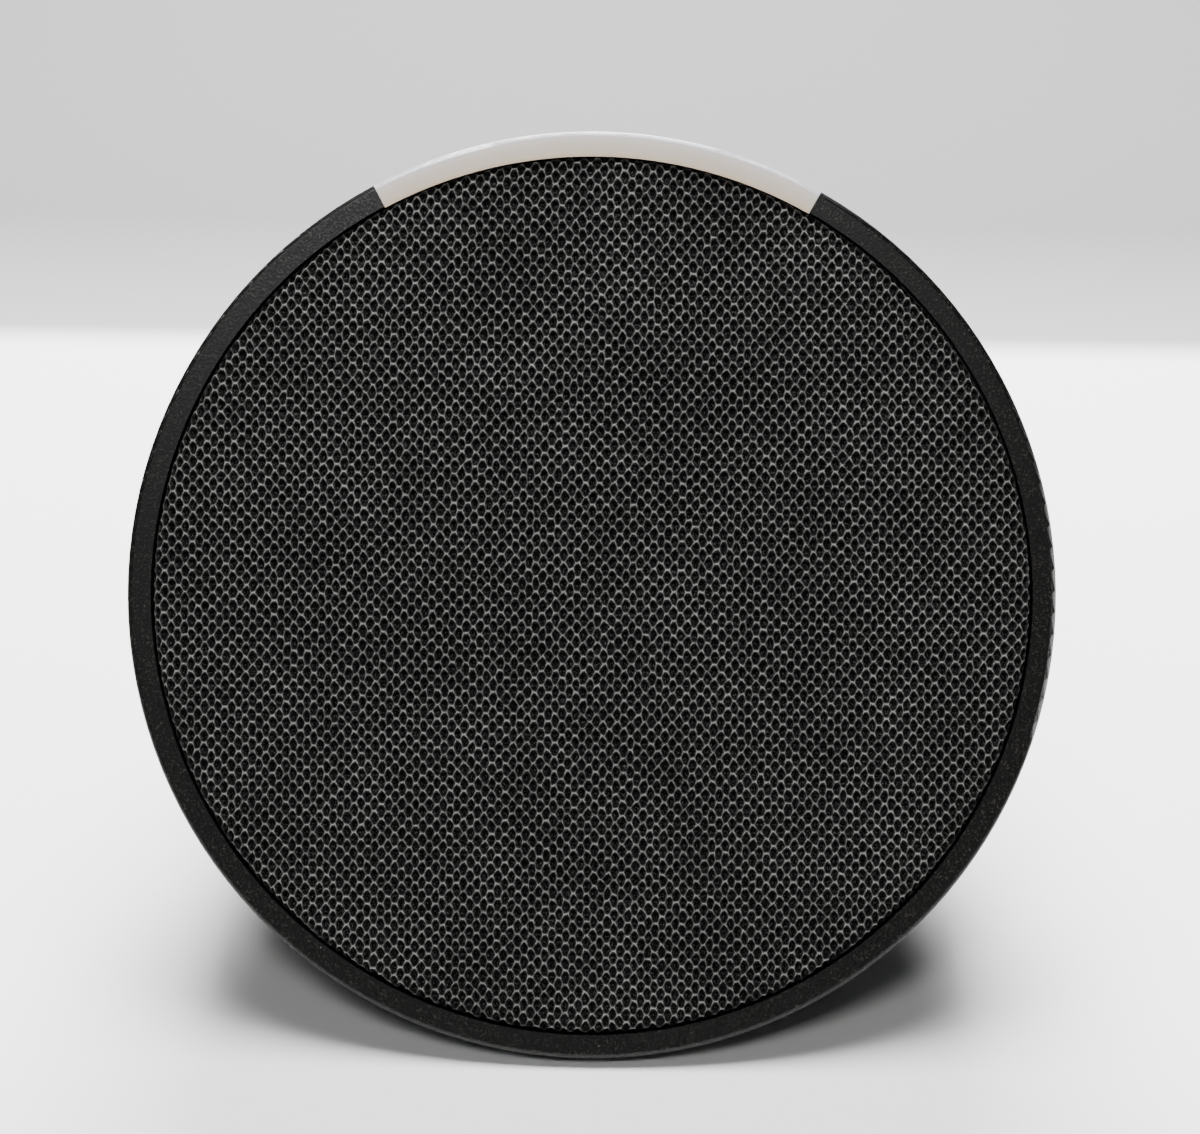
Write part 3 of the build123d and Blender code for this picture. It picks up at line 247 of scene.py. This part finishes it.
def cloth_line(run, depth):
    """The cloth's section at a distance run from its middle, as (radius, out), depth inwards.

    A cap of a large sphere, a quarter round of the shoulder's radius tangent to it, then straight
    back. The depth goes along the surface's normal.
    """
    round_radius = cloth_radius - cloth_shoulder
    cap_middle = cloth_crown - cap_sphere
    round_out = cap_middle + np.sqrt((cap_sphere - cloth_shoulder) ** 2 - round_radius**2)
    lean_at_end = np.arcsin(round_radius / (cap_sphere - cloth_shoulder))
    cap_run = cap_sphere * lean_at_end
    bend_run = cap_run + cloth_shoulder * (np.pi / 2 - lean_at_end)
    past_cap = np.clip(run - cap_run, 0, bend_run - cap_run)
    lean = np.clip(run, 0, cap_run) / cap_sphere + past_cap / cloth_shoulder
    on_cap = run < cap_run
    radius = np.where(
        on_cap, cap_sphere * np.sin(lean), round_radius + cloth_shoulder * np.sin(lean)
    )
    height = np.where(
        on_cap, cap_middle + cap_sphere * np.cos(lean), round_out + cloth_shoulder * np.cos(lean)
    )
    height = height - np.clip(run - bend_run, 0, None)
    return radius - depth * np.sin(lean), height - depth * np.cos(lean)


def wrapped(x, y, depth):
    """A point (x, y) of the flat cloth once wrapped: the same bearing, the same run."""
    radius, height = cloth_line(np.hypot(x, y), depth)
    bearing = np.arctan2(y, x)
    return (
        face_centre
        + (radius * np.cos(bearing))[..., None] * side
        + (radius * np.sin(bearing))[..., None] * up
        + height[..., None] * out
    )


runs = np.linspace(0, 1.3 * cloth_radius, 20001)
hem_run = runs[cloth_line(runs, 0)[1] >= cloth_hem].max()

# cells stand a pitch apart in a row, every other one half a cell higher
reach_columns = np.arange(-int(hem_run / column_pitch) - 1, int(hem_run / column_pitch) + 2)
reach_rows = np.arange(-int(hem_run / cell_height) - 1, int(hem_run / cell_height) + 2)
column, row = (grid.ravel() for grid in np.meshgrid(reach_columns, reach_rows))
cells = np.stack([column * column_pitch, (row + column % 2 / 2) * cell_height], axis=1)
kept = np.hypot(*cells.T) < hem_run - 0.35 * cell_height
column, row, cells = column[kept], row[kept], cells[kept]

# six knots round each cell, from its right, each shared with the cells beside it: knots in line
# across the cloth have the same level, which counts half cells
half_cell = cell_height / 2
slant = column_pitch - half_bridge
knot_x = np.array([slant, half_bridge, -half_bridge, -slant, -half_bridge, half_bridge])
knot_y = np.array([0, half_cell, half_cell, 0, -half_cell, -half_cell])
cell_level = 2 * row[:, None] + column[:, None] % 2
knot_level = cell_level + np.array([0, 1, 1, 0, -1, -1])
knot_code = 2 * column[:, None] + np.array([2, 1, 0, -1, 0, 1])
codes = np.stack([knot_code, knot_level], axis=-1).reshape(-1, 2)
kinds, which = np.unique(codes, axis=0, return_inverse=True)
which = which.reshape(-1, 6)
knots = np.zeros((len(kinds), 2))
knots[which.ravel()] = (cells[:, None] + np.stack([knot_x, knot_y], axis=1)).reshape(-1, 2)

# no knit is even: each knot lies a little out of place, and the rows drift slowly
dice = np.random.default_rng(7)
knots += dice.normal(0, knot_play, knots.shape)
knots[:, 1] += row_drift * np.sin(knots[:, 0] / (7 * MM)) * np.cos(knots[:, 1] / (11 * MM))
knot_depth = np.abs(dice.normal(0, knot_sink, len(knots)))

# the outermost knots, on the sides that only one cell has, go out to the hem
sides = np.stack([which, np.roll(which, -1, axis=1)], axis=-1).reshape(-1, 2)
_, twin, uses = np.unique(np.sort(sides, axis=1), axis=0, return_inverse=True, return_counts=True)
open_sides = sides[uses[twin.ravel()] == 1]
rim, open_sides = np.unique(open_sides, return_inverse=True)
open_sides = open_sides.reshape(-1, 2)
run = np.hypot(*knots.T)
knots *= np.minimum(1, (hem_run - hem_margin) / run)[:, None]
knots[rim] *= (hem_run / np.hypot(*knots[rim].T))[:, None]
knot_depth[rim] = 0

# in each cell: the yarn's inner edge, and the foot of the cell's side, round a flat bottom
cell_bottom = knots[which].mean(axis=1, keepdims=True) - [0, cell_sag]
depth_share = dice.normal(1, 0.06, (len(cells), 1))
yarn_edge = knots[which] + (cell_bottom - knots[which]) * yarn_share
flank_foot = knots[which] + (cell_bottom - knots[which]) * flank_share
yarn_depth = knot_depth[which] + yarn_rounding
foot_depth = np.repeat(net_depth * depth_share, 6, axis=1)
count = len(cells)
points = [
    wrapped(*knots.T, knot_depth),
    wrapped(yarn_edge[..., 0], yarn_edge[..., 1], yarn_depth).reshape(-1, 3),
    wrapped(flank_foot[..., 0], flank_foot[..., 1], foot_depth).reshape(-1, 3),
]
yarn_ring = len(knots) + np.arange(count * 6).reshape(-1, 6)
foot_ring = yarn_ring + count * 6


def band(first, second):
    """Quads between two loops of corners, one pair of loops a row."""
    quads = [first, np.roll(first, -1, axis=1), np.roll(second, -1, axis=1), second]
    return np.stack(quads, axis=-1).reshape(-1, 4).tolist()


faces = band(which, yarn_ring) + band(yarn_ring, foot_ring) + foot_ring.tolist()

# the closed back: loops from the hem in to the middle, one cloth's thickness under the face
back_runs = hem_run - np.array([0.0, 1.4, 2.1, 2.7, 4.0, 18.0, 33.0]) * MM
bearing = np.arctan2(knots[rim, 1], knots[rim, 0])
back_x = back_runs[:, None] * np.cos(bearing)
back_y = back_runs[:, None] * np.sin(bearing)
back = wrapped(back_x, back_y, np.full_like(back_x, cloth_thickness))
middle = wrapped(np.zeros(1), np.zeros(1), np.full(1, cloth_thickness))
points = np.concatenate([*points, back.reshape(-1, 3), middle])
loops = len(points) - 1 - back_x.size + np.arange(back_x.size).reshape(back_x.shape)
chain = np.vstack([rim, loops])
first, second = open_sides.T
walls = [chain[:-1, second], chain[:-1, first], chain[1:, first], chain[1:, second]]
faces += np.stack(walls, axis=-1).reshape(-1, 4).tolist()
hub = np.full(len(first), len(points) - 1)
faces += np.stack([loops[-1, second], loops[-1, first], hub], axis=1).tolist()
cloth = add_mesh("speaker_cloth", points, faces)

# what the finish needs at each corner: how near the crest it is, and which level of knots
# the finish paints shade and highlight from these: darker away from the crest, lighter under a knot
crest = np.zeros(len(points))
crest[: len(knots)] = 1
crest[yarn_ring] = 0.66
crest[foot_ring] = 0.2
level = np.zeros(len(points))
level[which] = knot_level
level[yarn_ring] = knot_level + (cell_level - knot_level) * yarn_share
level[foot_ring] = knot_level + (cell_level - knot_level) * flank_share
for label, values in (("crest", crest), ("level", level)):
    cloth.data.attributes.new(label, "FLOAT", "POINT").data.foreach_set("value", values)


def grain(tree, size, detail=2.0, rough=0.5, places=None):
    """Even noise from 0 to 1 whose grains are about size across."""
    noise = tree.nodes.new("ShaderNodeTexNoise")
    noise.inputs["Scale"].default_value = 1 / size
    noise.inputs["Detail"].default_value = detail
    noise.inputs["Roughness"].default_value = rough
    tree.links.new(places or piece_places(tree), noise.inputs["Vector"])
    return noise.outputs["Fac"]


def worked(tree, operation, *values):
    """One Math node on values that are sockets or plain numbers."""
    node = tree.nodes.new("ShaderNodeMath")
    node.operation = operation
    for value, socket in zip(values, node.inputs):
        if isinstance(value, (int, float)):
            socket.default_value = value
        else:
            tree.links.new(value, socket)
    return node.outputs["Value"]


def blended(tree, share, first, second, way="MIX"):
    """Two colours, blended by a share that is a socket or a plain number."""
    node = tree.nodes.new("ShaderNodeMix")
    node.data_type = "RGBA"
    node.blend_type = way
    for value, socket in zip((share, first, second), (node.inputs[0], *node.inputs[6:8])):
        if isinstance(value, (int, float)):
            socket.default_value = value
        elif isinstance(value, tuple):
            socket.default_value = (*value, 1)
        else:
            tree.links.new(value, socket)
    return node.outputs[2]


def raised(tree, shader, height, depth, strength):
    """Relief from a value of 0 to 1, depth metres deep."""
    bump = tree.nodes.new("ShaderNodeBump")
    bump.inputs["Distance"].default_value = depth
    bump.inputs["Strength"].default_value = strength
    tree.links.new(height, bump.inputs["Height"])
    tree.links.new(bump.outputs["Normal"], shader.inputs["Normal"])


def knit_finish():
    """Charcoal yarn: painted highlight where proud and just under a knot, near-black painted shade in
    cells.
    """
    material, tree, shader = new_finish("spacer_knit", 0.85, specular=0.04)
    near_crest = tree.nodes.new("ShaderNodeAttribute")
    near_crest.attribute_name = "crest"
    at_level = tree.nodes.new("ShaderNodeAttribute")
    at_level.attribute_name = "level"
    above_knot = worked(tree, "FRACT", at_level.outputs["Fac"])
    fibres = grain(tree, 0.11 * MM, 3.0, 0.7)
    lengths = grain(tree, 0.5 * MM, 1.0)
    patches = grain(tree, 9 * MM, 2.0)
    # painted shade: darker the further a corner lies from the crest, with the yarn's own fibres on
    # top
    shade_and_fibres = worked(tree, "MULTIPLY_ADD", fibres, 0.75, near_crest.outputs["Fac"])
    shade_and_fibres = worked(tree, "ADD", shade_and_fibres, spread(tree, lengths, 0.3, 0.7, -0.13, 0.13))
    shade_and_fibres = worked(tree, "SUBTRACT", shade_and_fibres, 0.37)
    yarn = np.array((1.0, 0.985, 0.94))
    stops = [(0.0, 0.0006), (0.20, 0.003), (0.48, 0.016), (0.76, 0.062), (1.0, 0.27)]
    colour = shades(tree, shade_and_fibres, [(position, yarn * grey) for position, grey in stops])
    strands = grain(tree, 0.17 * MM, 3.0, 0.6, piece_places(tree, (1.0, 1.0, 0.8)))
    loose = shades(tree, strands, [(0.46, 0.0), (0.57, 0.030), (0.70, 0.100)])
    colour = blended(tree, 1.0, colour, loose, "LIGHTEN")
    # painted highlight: lightest at and just under each knot, darker partway down towards the next
    painted_highlight_stops = [(0.0, 0.9), (0.12, 0.7), (0.30, 0.26), (0.50, 0.33), (0.85, 1.0), (1.0, 1.0)]
    painted_knot_highlight = shades(tree, above_knot, painted_highlight_stops)
    colour = blended(tree, 1.0, colour, painted_knot_highlight, "MULTIPLY")
    colour = blended(tree, 1.0, colour, shades(tree, patches, [(0.3, 0.72), (0.7, 1.0)]), "MULTIPLY")
    tree.links.new(colour, shader.inputs["Base Color"])
    raised(tree, shader, fibres, 0.05 * MM, 0.7)
    return material


cloth.data.materials.append(knit_finish())
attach(cloth, "root")
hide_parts("grille_cloth")

# ================================================================ front ring
# A black moulding struck with a fine spark texture, screwed round the front of the rear shell.
# It holds dust and small scuffs, most of them low down where it is handled.
dust_colour = (0.30, 0.29, 0.27)


def dress(material, *names):
    """Gives CAD nodes one finish."""
    for name in names:
        nodes[name].data.materials.clear()
        nodes[name].data.materials.append(material)


face_turn = Matrix((side, up, out))


def face_places(tree):
    """The piece's own coordinates in the face's axes, from the face's centre."""
    where = tree.nodes.new("ShaderNodeTexCoord")
    mapping = tree.nodes.new("ShaderNodeMapping")
    mapping.inputs["Rotation"].default_value = face_turn.to_euler()
    mapping.inputs["Location"].default_value = -(face_turn @ Vector(face_centre))
    tree.links.new(where.outputs["Object"], mapping.inputs["Vector"])
    apart = tree.nodes.new("ShaderNodeSeparateXYZ")
    tree.links.new(mapping.outputs["Vector"], apart.inputs["Vector"])
    return apart.outputs


def off_axis(tree):
    """Distance from the face's axis, in metres."""
    x, y, _ = face_places(tree)
    squares = worked(tree, "ADD", worked(tree, "POWER", x, 2.0), worked(tree, "POWER", y, 2.0))
    return worked(tree, "SQRT", squares)


def specks(tree, spacing, size, share):
    """1 on round specks of about size, on a share of cells spacing apart, 0 elsewhere."""
    cell = tree.nodes.new("ShaderNodeTexVoronoi")
    cell.inputs["Scale"].default_value = 1 / spacing
    tree.links.new(piece_places(tree), cell.inputs["Vector"])
    near = worked(tree, "LESS_THAN", cell.outputs["Distance"], size / 2 / spacing)
    apart = tree.nodes.new("ShaderNodeSeparateColor")
    tree.links.new(cell.outputs["Color"], apart.inputs["Color"])
    chosen = worked(tree, "LESS_THAN", apart.outputs["Red"], share)
    return worked(tree, "MULTIPLY", near, chosen)


def handling_marks(tree):
    """Dust specks and patches of fine scuffs, 0 to 1, strongest at the bottom of the face."""
    low_down = spread(tree, face_places(tree)[1], 0.0, -0.9 * ring_radius, 0.25, 1.0)
    scuffs = grain(tree, 0.35 * MM, 4.0, 0.8, piece_places(tree, (1.0, 0.4, 1.6)))
    rubbed = grain(tree, 6 * MM, 2.0)
    scuffed = worked(
        tree, "MULTIPLY", spread(tree, scuffs, 0.66, 0.74), spread(tree, rubbed, 0.52, 0.62)
    )
    marks = worked(tree, "MAXIMUM", specks(tree, 1.3 * MM, 0.17 * MM, 0.22), scuffed)
    return worked(tree, "MULTIPLY", marks, low_down)


def struck_finish(name, tint, roughness, dusty, specular):
    """Satin plastic with a spark-eroded grain about a quarter of a millimetre across."""
    material, tree, shader = new_finish(name, roughness, specular=specular)
    pits = grain(tree, 0.25 * MM, 3.0, 0.65)
    tint = np.array(tint)
    stops = [(0.38, tint * 0.4), (0.5, tint), (0.56, tint * 4.0), (0.66, tint * 22.0)]
    marked = worked(tree, "MULTIPLY", handling_marks(tree), dusty)
    colour = blended(tree, marked, shades(tree, pits, stops), dust_colour)
    tree.links.new(colour, shader.inputs["Base Color"])
    tree.links.new(
        spread(tree, pits, 0.38, 0.64, roughness + 0.16, roughness - 0.10), shader.inputs["Roughness"]
    )
    raised(tree, shader, pits, 0.03 * MM, 0.6)
    return material


ring_black = (0.0017, 0.0016, 0.0015)
ring_finish = struck_finish("ring_plastic", ring_black, roughness=0.28, dusty=0.35, specular=0.29)
dress(ring_finish, "front_ring")

# ================================================================ light bar
# A frosted, translucent moulding that fills the top of the ring and spreads the light of the
# emitters behind it. Unlit, it is milky, warmer towards the cloth, with a clearer outer edge.
bar_inner = ring_radius - 2.65 * MM


def frosted_finish():
    """Milky plastic, shaded across the bar by its distance from the face's axis."""
    material, tree, shader = new_finish("frosted_diffuser", 0.38, specular=0.45)
    shader.inputs["Subsurface Weight"].default_value = 0.35
    shader.inputs["Subsurface Radius"].default_value = (1.0, 0.8, 0.6)
    shader.inputs["Subsurface Scale"].default_value = 0.9 * MM
    across = spread(tree, off_axis(tree), bar_inner, ring_radius)
    cloudy = grain(tree, 1.6 * MM, 3.0)
    across = worked(tree, "ADD", across, spread(tree, cloudy, 0.3, 0.7, -0.04, 0.04))
    stops = [
        (0.0, (0.50, 0.40, 0.29)),
        (0.18, (0.53, 0.45, 0.36)),
        (0.5, (0.56, 0.49, 0.42)),
        (0.72, (0.58, 0.55, 0.52)),
        (0.88, (0.56, 0.56, 0.57)),
        (0.95, (0.26, 0.27, 0.31)),
    ]
    tree.links.new(shades(tree, across, stops), shader.inputs["Base Color"])
    raised(tree, shader, grain(tree, 0.25 * MM, 2.0), 0.01 * MM, 0.4)
    return material


dress(frosted_finish(), "light_bar")

# ================================================================ rear shell
# The half-dome moulding that everything is screwed into, with the same struck texture.
shell_black = (0.0009, 0.0009, 0.0008)
shell_finish = struck_finish("shell_plastic", shell_black, roughness=0.50, dusty=0.1, specular=0.17)
dress(shell_finish, "rear_shell")

# ================================================================ buttons
# Three separate keys in the crown, moulded in soft-touch black, each pressing a switch below.


def soft_touch_finish():
    """Very matt black paint over plastic, a little rubbed."""
    material, tree, shader = new_finish("soft_touch_black", 0.62, specular=0.22)
    fine = grain(tree, 0.12 * MM, 2.0)
    tree.links.new(shades(tree, fine, [(0.3, 0.003), (0.7, 0.008)]), shader.inputs["Base Color"])
    rubbed = spread(tree, grain(tree, 3 * MM, 2.0), 0.35, 0.65, 0.58, 0.66)
    tree.links.new(rubbed, shader.inputs["Roughness"])
    raised(tree, shader, fine, 0.012 * MM, 0.5)
    return material


keys = ("volume_down", "mic_mute", "volume_up")
dress(soft_touch_finish(), *[f"{key}_button" for key in keys])

# ================================================================ plain mouldings
# The parts nobody sees: the grille frame, baffle, back chamber, connectors and switch plungers,
# all injection moulded and left as they come out of the tool.


def moulded_finish(name, tint, roughness, flow=2.5 * MM):
    """As-moulded plastic: faint flow marks and a fine even texture."""
    material, tree, shader = new_finish(name, roughness, specular=0.45)
    tint = np.array(tint)
    marks = grain(tree, flow, 3.0, 0.6, piece_places(tree, (1.0, 1.0, 0.35)))
    stops = [(0.3, tint * 0.75), (0.5, tint), (0.7, tint * 1.25)]
    tree.links.new(shades(tree, marks, stops), shader.inputs["Base Color"])
    texture = grain(tree, 0.15 * MM, 2.0)
    tree.links.new(
        spread(tree, texture, 0.3, 0.7, roughness - 0.06, roughness + 0.06),
        shader.inputs["Roughness"],
    )
    raised(tree, shader, texture, 0.01 * MM, 0.5)
    return material


dress(moulded_finish("grille_plastic", (0.02, 0.02, 0.021), 0.5), "grille_frame")
dress(moulded_finish("inner_plastic", (0.035, 0.035, 0.037), 0.48), "front_baffle", "back_chamber")
dress(moulded_finish("socket_plastic", (0.012, 0.012, 0.013), 0.4, 1.5 * MM), "power_socket")
dress(
    moulded_finish("connector_plastic", (0.62, 0.59, 0.50), 0.42, 1.0 * MM),
    "board_connectors",
    *[f"{key}_plunger" for key in keys],
)

# ================================================================ rubber and foam
# The foot is a pad of dark rubber stuck under the base. The seals are die-cut foam, and the
# grommet, where the speaker's wires leave the chamber, is the foot's rubber.


def rubber_finish(name, tint, roughness):
    """Dull rubber with a dusting of bloom."""
    material, tree, shader = new_finish(name, roughness, specular=0.3)
    tint = np.array(tint)
    bloom = grain(tree, 2.2 * MM, 4.0, 0.65)
    stops = [(0.35, tint), (0.6, tint * 1.5), (0.75, tint * 2.4)]
    tree.links.new(shades(tree, bloom, stops), shader.inputs["Base Color"])
    raised(tree, shader, grain(tree, 0.09 * MM, 2.0), 0.02 * MM, 0.6)
    return material


def foam_finish():
    """Open-celled black foam, with painted shade darkening its pores."""
    material, tree, shader = new_finish("seal_foam", 0.9, specular=0.15)
    cell = tree.nodes.new("ShaderNodeTexVoronoi")
    cell.inputs["Scale"].default_value = 1 / (0.22 * MM)
    tree.links.new(piece_places(tree), cell.inputs["Vector"])
    # painted shade: darkest at the bottom of each pore, lighter on the cell walls
    stops = [(0.0, 0.006), (0.45, 0.02), (0.8, 0.06)]
    tree.links.new(shades(tree, cell.outputs["Distance"], stops), shader.inputs["Base Color"])
    raised(tree, shader, cell.outputs["Distance"], 0.06 * MM, 0.9)
    return material


dress(rubber_finish("foot_rubber", (0.014, 0.014, 0.014), 0.72), "foot_pad", "wire_grommet")
dress(rubber_finish("surround_rubber", (0.010, 0.010, 0.011), 0.5), "surround")
dress(rubber_finish("thermal_silicone", (0.30, 0.38, 0.47), 0.55), "thermal_pad")
dress(foam_finish(), "driver_seal", "chamber_seal", "mic_seals")

# ================================================================ loudspeaker cone, spider and coil
# The cone and its dust cap are pressed from coated paper pulp. The spider is a corrugated disc of
# cotton stiffened with resin, and the coil is enamelled copper wound on an amber film.
wire_pitch = 0.2 * MM
weave_pitch = 0.45 * MM
WAVE_PERIOD = np.pi / 10  # of Blender's bands at a scale of 1


def stripes(tree, pitch, along, places=None):
    """Soft stripes a pitch apart, across the axis that along names."""
    wave = tree.nodes.new("ShaderNodeTexWave")
    wave.bands_direction = along
    wave.inputs["Scale"].default_value = WAVE_PERIOD / pitch
    tree.links.new(places or piece_places(tree), wave.inputs["Vector"])
    return wave.outputs["Fac"]


def pulp_finish():
    """Black coated paper: matted fibres under a thin coat."""
    material, tree, shader = new_finish("cone_paper", 0.6, specular=0.35)
    one_way = grain(tree, 0.6 * MM, 4.0, 0.7, piece_places(tree, (1.0, 5.0, 1.0), (0, 0, 0.6)))
    other_way = grain(tree, 0.6 * MM, 4.0, 0.7, piece_places(tree, (5.0, 1.0, 1.0), (0, 0, 0.3)))
    fibres = worked(tree, "MAXIMUM", one_way, other_way)
    tree.links.new(shades(tree, fibres, [(0.4, 0.010), (0.75, 0.05)]), shader.inputs["Base Color"])
    raised(tree, shader, fibres, 0.04 * MM, 0.7)
    return material


def weave_finish():
    """Amber cotton weave stiffened with resin, with painted shade in the gaps between the threads."""
    material, tree, shader = new_finish("spider_cloth", 0.65, specular=0.3)
    turned = piece_places(tree, turn=face_turn.to_euler())
    warp = stripes(tree, weave_pitch, "X", turned)
    weft = stripes(tree, weave_pitch, "Y", turned)
    weave = worked(tree, "MULTIPLY", warp, weft)
    # painted shade: dark brown where the weave lies low, amber where the threads stand up
    stops = [(0.0, (0.12, 0.065, 0.02)), (0.35, (0.42, 0.27, 0.10)), (1.0, (0.62, 0.44, 0.20))]
    tree.links.new(shades(tree, weave, stops), shader.inputs["Base Color"])
    raised(tree, shader, weave, 0.08 * MM, 0.8)
    return material


def winding_finish():
    """Turns of enamelled copper wire, side by side, with painted shade in the grooves between them.
    """
    material, tree, shader = new_finish("copper_wire", 0.28, metallic=0.9)
    turns = stripes(tree, wire_pitch, "Z", piece_places(tree, turn=face_turn.to_euler()))
    # painted shade: dark in the grooves between turns, bright copper on top of each turn
    stops = [(0.0, (0.16, 0.05, 0.015)), (0.4, (0.62, 0.24, 0.09)), (1.0, (0.80, 0.36, 0.16))]
    tree.links.new(shades(tree, turns, stops), shader.inputs["Base Color"])
    raised(tree, shader, turns, 0.08 * MM, 1.0)
    return material


def film_finish(name, tint, strip_pitch):
    """Amber polyimide film, with copper strips showing through a pitch apart."""
    material, tree, shader = new_finish(name, 0.3)
    tint = np.array(tint)
    strips = stripes(tree, strip_pitch, "X")
    clouds = grain(tree, 3 * MM, 2.0)
    colour = shades(tree, strips, [(0.35, tint * 0.6), (0.55, tint), (0.7, tint * 1.5)])
    haze = shades(tree, clouds, [(0.3, 0.85), (0.7, 1.0)])
    tree.links.new(blended(tree, 1.0, colour, haze, "MULTIPLY"), shader.inputs["Base Color"])
    raised(tree, shader, strips, 0.02 * MM, 0.5)
    return material


dress(pulp_finish(), "driver_cone", "dust_cap")
dress(weave_finish(), "spider")
dress(winding_finish(), "voice_coil")
dress(film_finish("coil_former", (0.42, 0.19, 0.04), 1.5 * MM), "coil_former")
dress(film_finish("flat_cable", (0.50, 0.26, 0.06), 1.0 * MM), "led_ribbon", "button_ribbon")

# ================================================================ metalwork
# Zinc-plated steel for the magnet's plates, bracket and screws; black stamped steel for the
# basket; tin plate, nickel and aluminium on and around the boards; sintered ferrite magnet.


def plated_finish(name, tint, roughness, brushed=(1.0, 1.0, 6.0)):
    """Bright metal: fine drawn lines, cloudy plating and a few handling marks."""
    material, tree, shader = new_finish(name, roughness, metallic=1.0)
    tint = np.array(tint)
    drawn = grain(tree, 0.3 * MM, 3.0, 0.6, piece_places(tree, brushed))
    cloudy = grain(tree, 5 * MM, 3.0)
    colour = shades(tree, cloudy, [(0.3, tint * 0.82), (0.7, tint)])
    tree.links.new(colour, shader.inputs["Base Color"])
    tree.links.new(
        spread(tree, drawn, 0.3, 0.7, roughness - 0.08, roughness + 0.1), shader.inputs["Roughness"]
    )
    raised(tree, shader, drawn, 0.008 * MM, 0.5)
    return material


def painted_steel_finish():
    """Thin satin black paint on stamped steel."""
    material, tree, shader = new_finish("basket_steel", 0.38)
    peel = grain(tree, 0.5 * MM, 2.0)
    tree.links.new(shades(tree, peel, [(0.3, 0.012), (0.7, 0.026)]), shader.inputs["Base Color"])
    raised(tree, shader, peel, 0.015 * MM, 0.6)
    return material


def ferrite_finish():
    """Dark grey sintered ferrite, ground flat, with small pores."""
    material, tree, shader = new_finish("magnet_ferrite", 0.55, specular=0.6)
    body = grain(tree, 0.3 * MM, 3.0, 0.6)
    colour = shades(tree, body, [(0.3, (0.03, 0.03, 0.033)), (0.7, (0.075, 0.075, 0.08))])
    pores = specks(tree, 0.9 * MM, 0.22 * MM, 0.5)
    tree.links.new(blended(tree, pores, colour, (0.01, 0.01, 0.01)), shader.inputs["Base Color"])
    raised(tree, shader, body, 0.02 * MM, 0.5)
    return material


screw_nodes = [name for name in nodes if name.endswith("_screws")]
dress(plated_finish("screw_steel", (0.50, 0.48, 0.44), 0.34, (1.0, 1.0, 1.0)), *screw_nodes)
dress(plated_finish("zinc_steel", (0.60, 0.61, 0.60), 0.32), "top_plate", "pole_yoke")
dress(plated_finish("bracket_steel", (0.55, 0.56, 0.54), 0.38), "base_bracket")
dress(plated_finish("spreader_aluminium", (0.70, 0.70, 0.71), 0.36, (6.0, 1.0, 1.0)), "heat_spreader")
dress(plated_finish("tin_plate", (0.66, 0.66, 0.64), 0.3), "shield_can")
dress(plated_finish("switch_metal", (0.62, 0.62, 0.60), 0.3), "button_switches")
dress(plated_finish("nickel_brass", (0.66, 0.63, 0.55), 0.24), "socket_sleeve", "socket_pin")
dress(plated_finish("tinned_brass", (0.66, 0.60, 0.45), 0.33), "solder_lugs", "antennas")
dress(painted_steel_finish(), "driver_basket")
dress(ferrite_finish(), "magnet")

# ================================================================ circuit boards
# Glass-epoxy boards with a lacquer over etched copper, white on the emitters' board so that it
# throws the light forward, and the black chips, emitters and terminal strip that stand on them.
# The microphones are covered by a fine black screen, all that shows of them down their holes.


def board_finish(name, lacquer, copper):
    """Lacquered board: squared copper areas show through, with small tinned vias."""
    material, tree, shader = new_finish(name, 0.32)
    areas = tree.nodes.new("ShaderNodeTexVoronoi")
    areas.distance = "CHEBYCHEV"
    areas.inputs["Scale"].default_value = 1 / (2.2 * MM)
    tree.links.new(piece_places(tree), areas.inputs["Vector"])
    etched = spread(tree, areas.outputs["Distance"], 0.46, 0.5)
    colour = blended(tree, etched, copper, lacquer)
    vias = specks(tree, 1.7 * MM, 0.35 * MM, 0.6)
    colour = blended(tree, vias, colour, (0.55, 0.53, 0.48))
    tree.links.new(colour, shader.inputs["Base Color"])
    raised(tree, shader, etched, 0.03 * MM, 0.6)
    return material


def package_finish(name, stops, roughness):
    """A small moulded package: fine filled plastic with lighter flecks."""
    material, tree, shader = new_finish(name, roughness, specular=0.4)
    filler = grain(tree, 0.08 * MM, 2.0, 0.6)
    tree.links.new(shades(tree, filler, stops), shader.inputs["Base Color"])
    raised(tree, shader, filler, 0.008 * MM, 0.5)
    return material


green_board = board_finish("circuit_board", (0.006, 0.045, 0.025), (0.012, 0.10, 0.05))
dress(green_board, "main_board", "button_board")
dress(board_finish("led_board_white", (0.66, 0.66, 0.64), (0.74, 0.74, 0.72)), "led_board")
dress(package_finish("chip_black", [(0.3, 0.012), (0.7, 0.035)], 0.5), "board_chips")
dress(package_finish("microphone_screen", [(0.3, 0.003), (0.7, 0.009)], 0.8), "microphones")
amber_lens = [(0.3, (0.72, 0.66, 0.36)), (0.7, (0.85, 0.82, 0.62))]
dress(package_finish("led_package", amber_lens, 0.35), "light_emitters")
laminate = [(0.3, (0.20, 0.10, 0.035)), (0.7, (0.34, 0.18, 0.07))]
dress(package_finish("terminal_laminate", laminate, 0.5), "terminal_strip")

# ================================================================ wires
# Soft insulated wire: a red pair to the loudspeaker's lugs and a black pair from the socket.


def insulation_finish(name, tint):
    """Soft extruded insulation with a slight drawn gloss."""
    material, tree, shader = new_finish(name, 0.4)
    tint = np.array(tint)
    drawn = grain(tree, 0.7 * MM, 3.0)
    tree.links.new(shades(tree, drawn, [(0.3, tint * 0.7), (0.7, tint)]), shader.inputs["Base Color"])
    raised(tree, shader, drawn, 0.015 * MM, 0.5)
    return material


dress(insulation_finish("wire_insulation", (0.35, 0.02, 0.02)), "speaker_wires")
dress(insulation_finish("power_insulation", (0.02, 0.02, 0.02)), "power_wires")
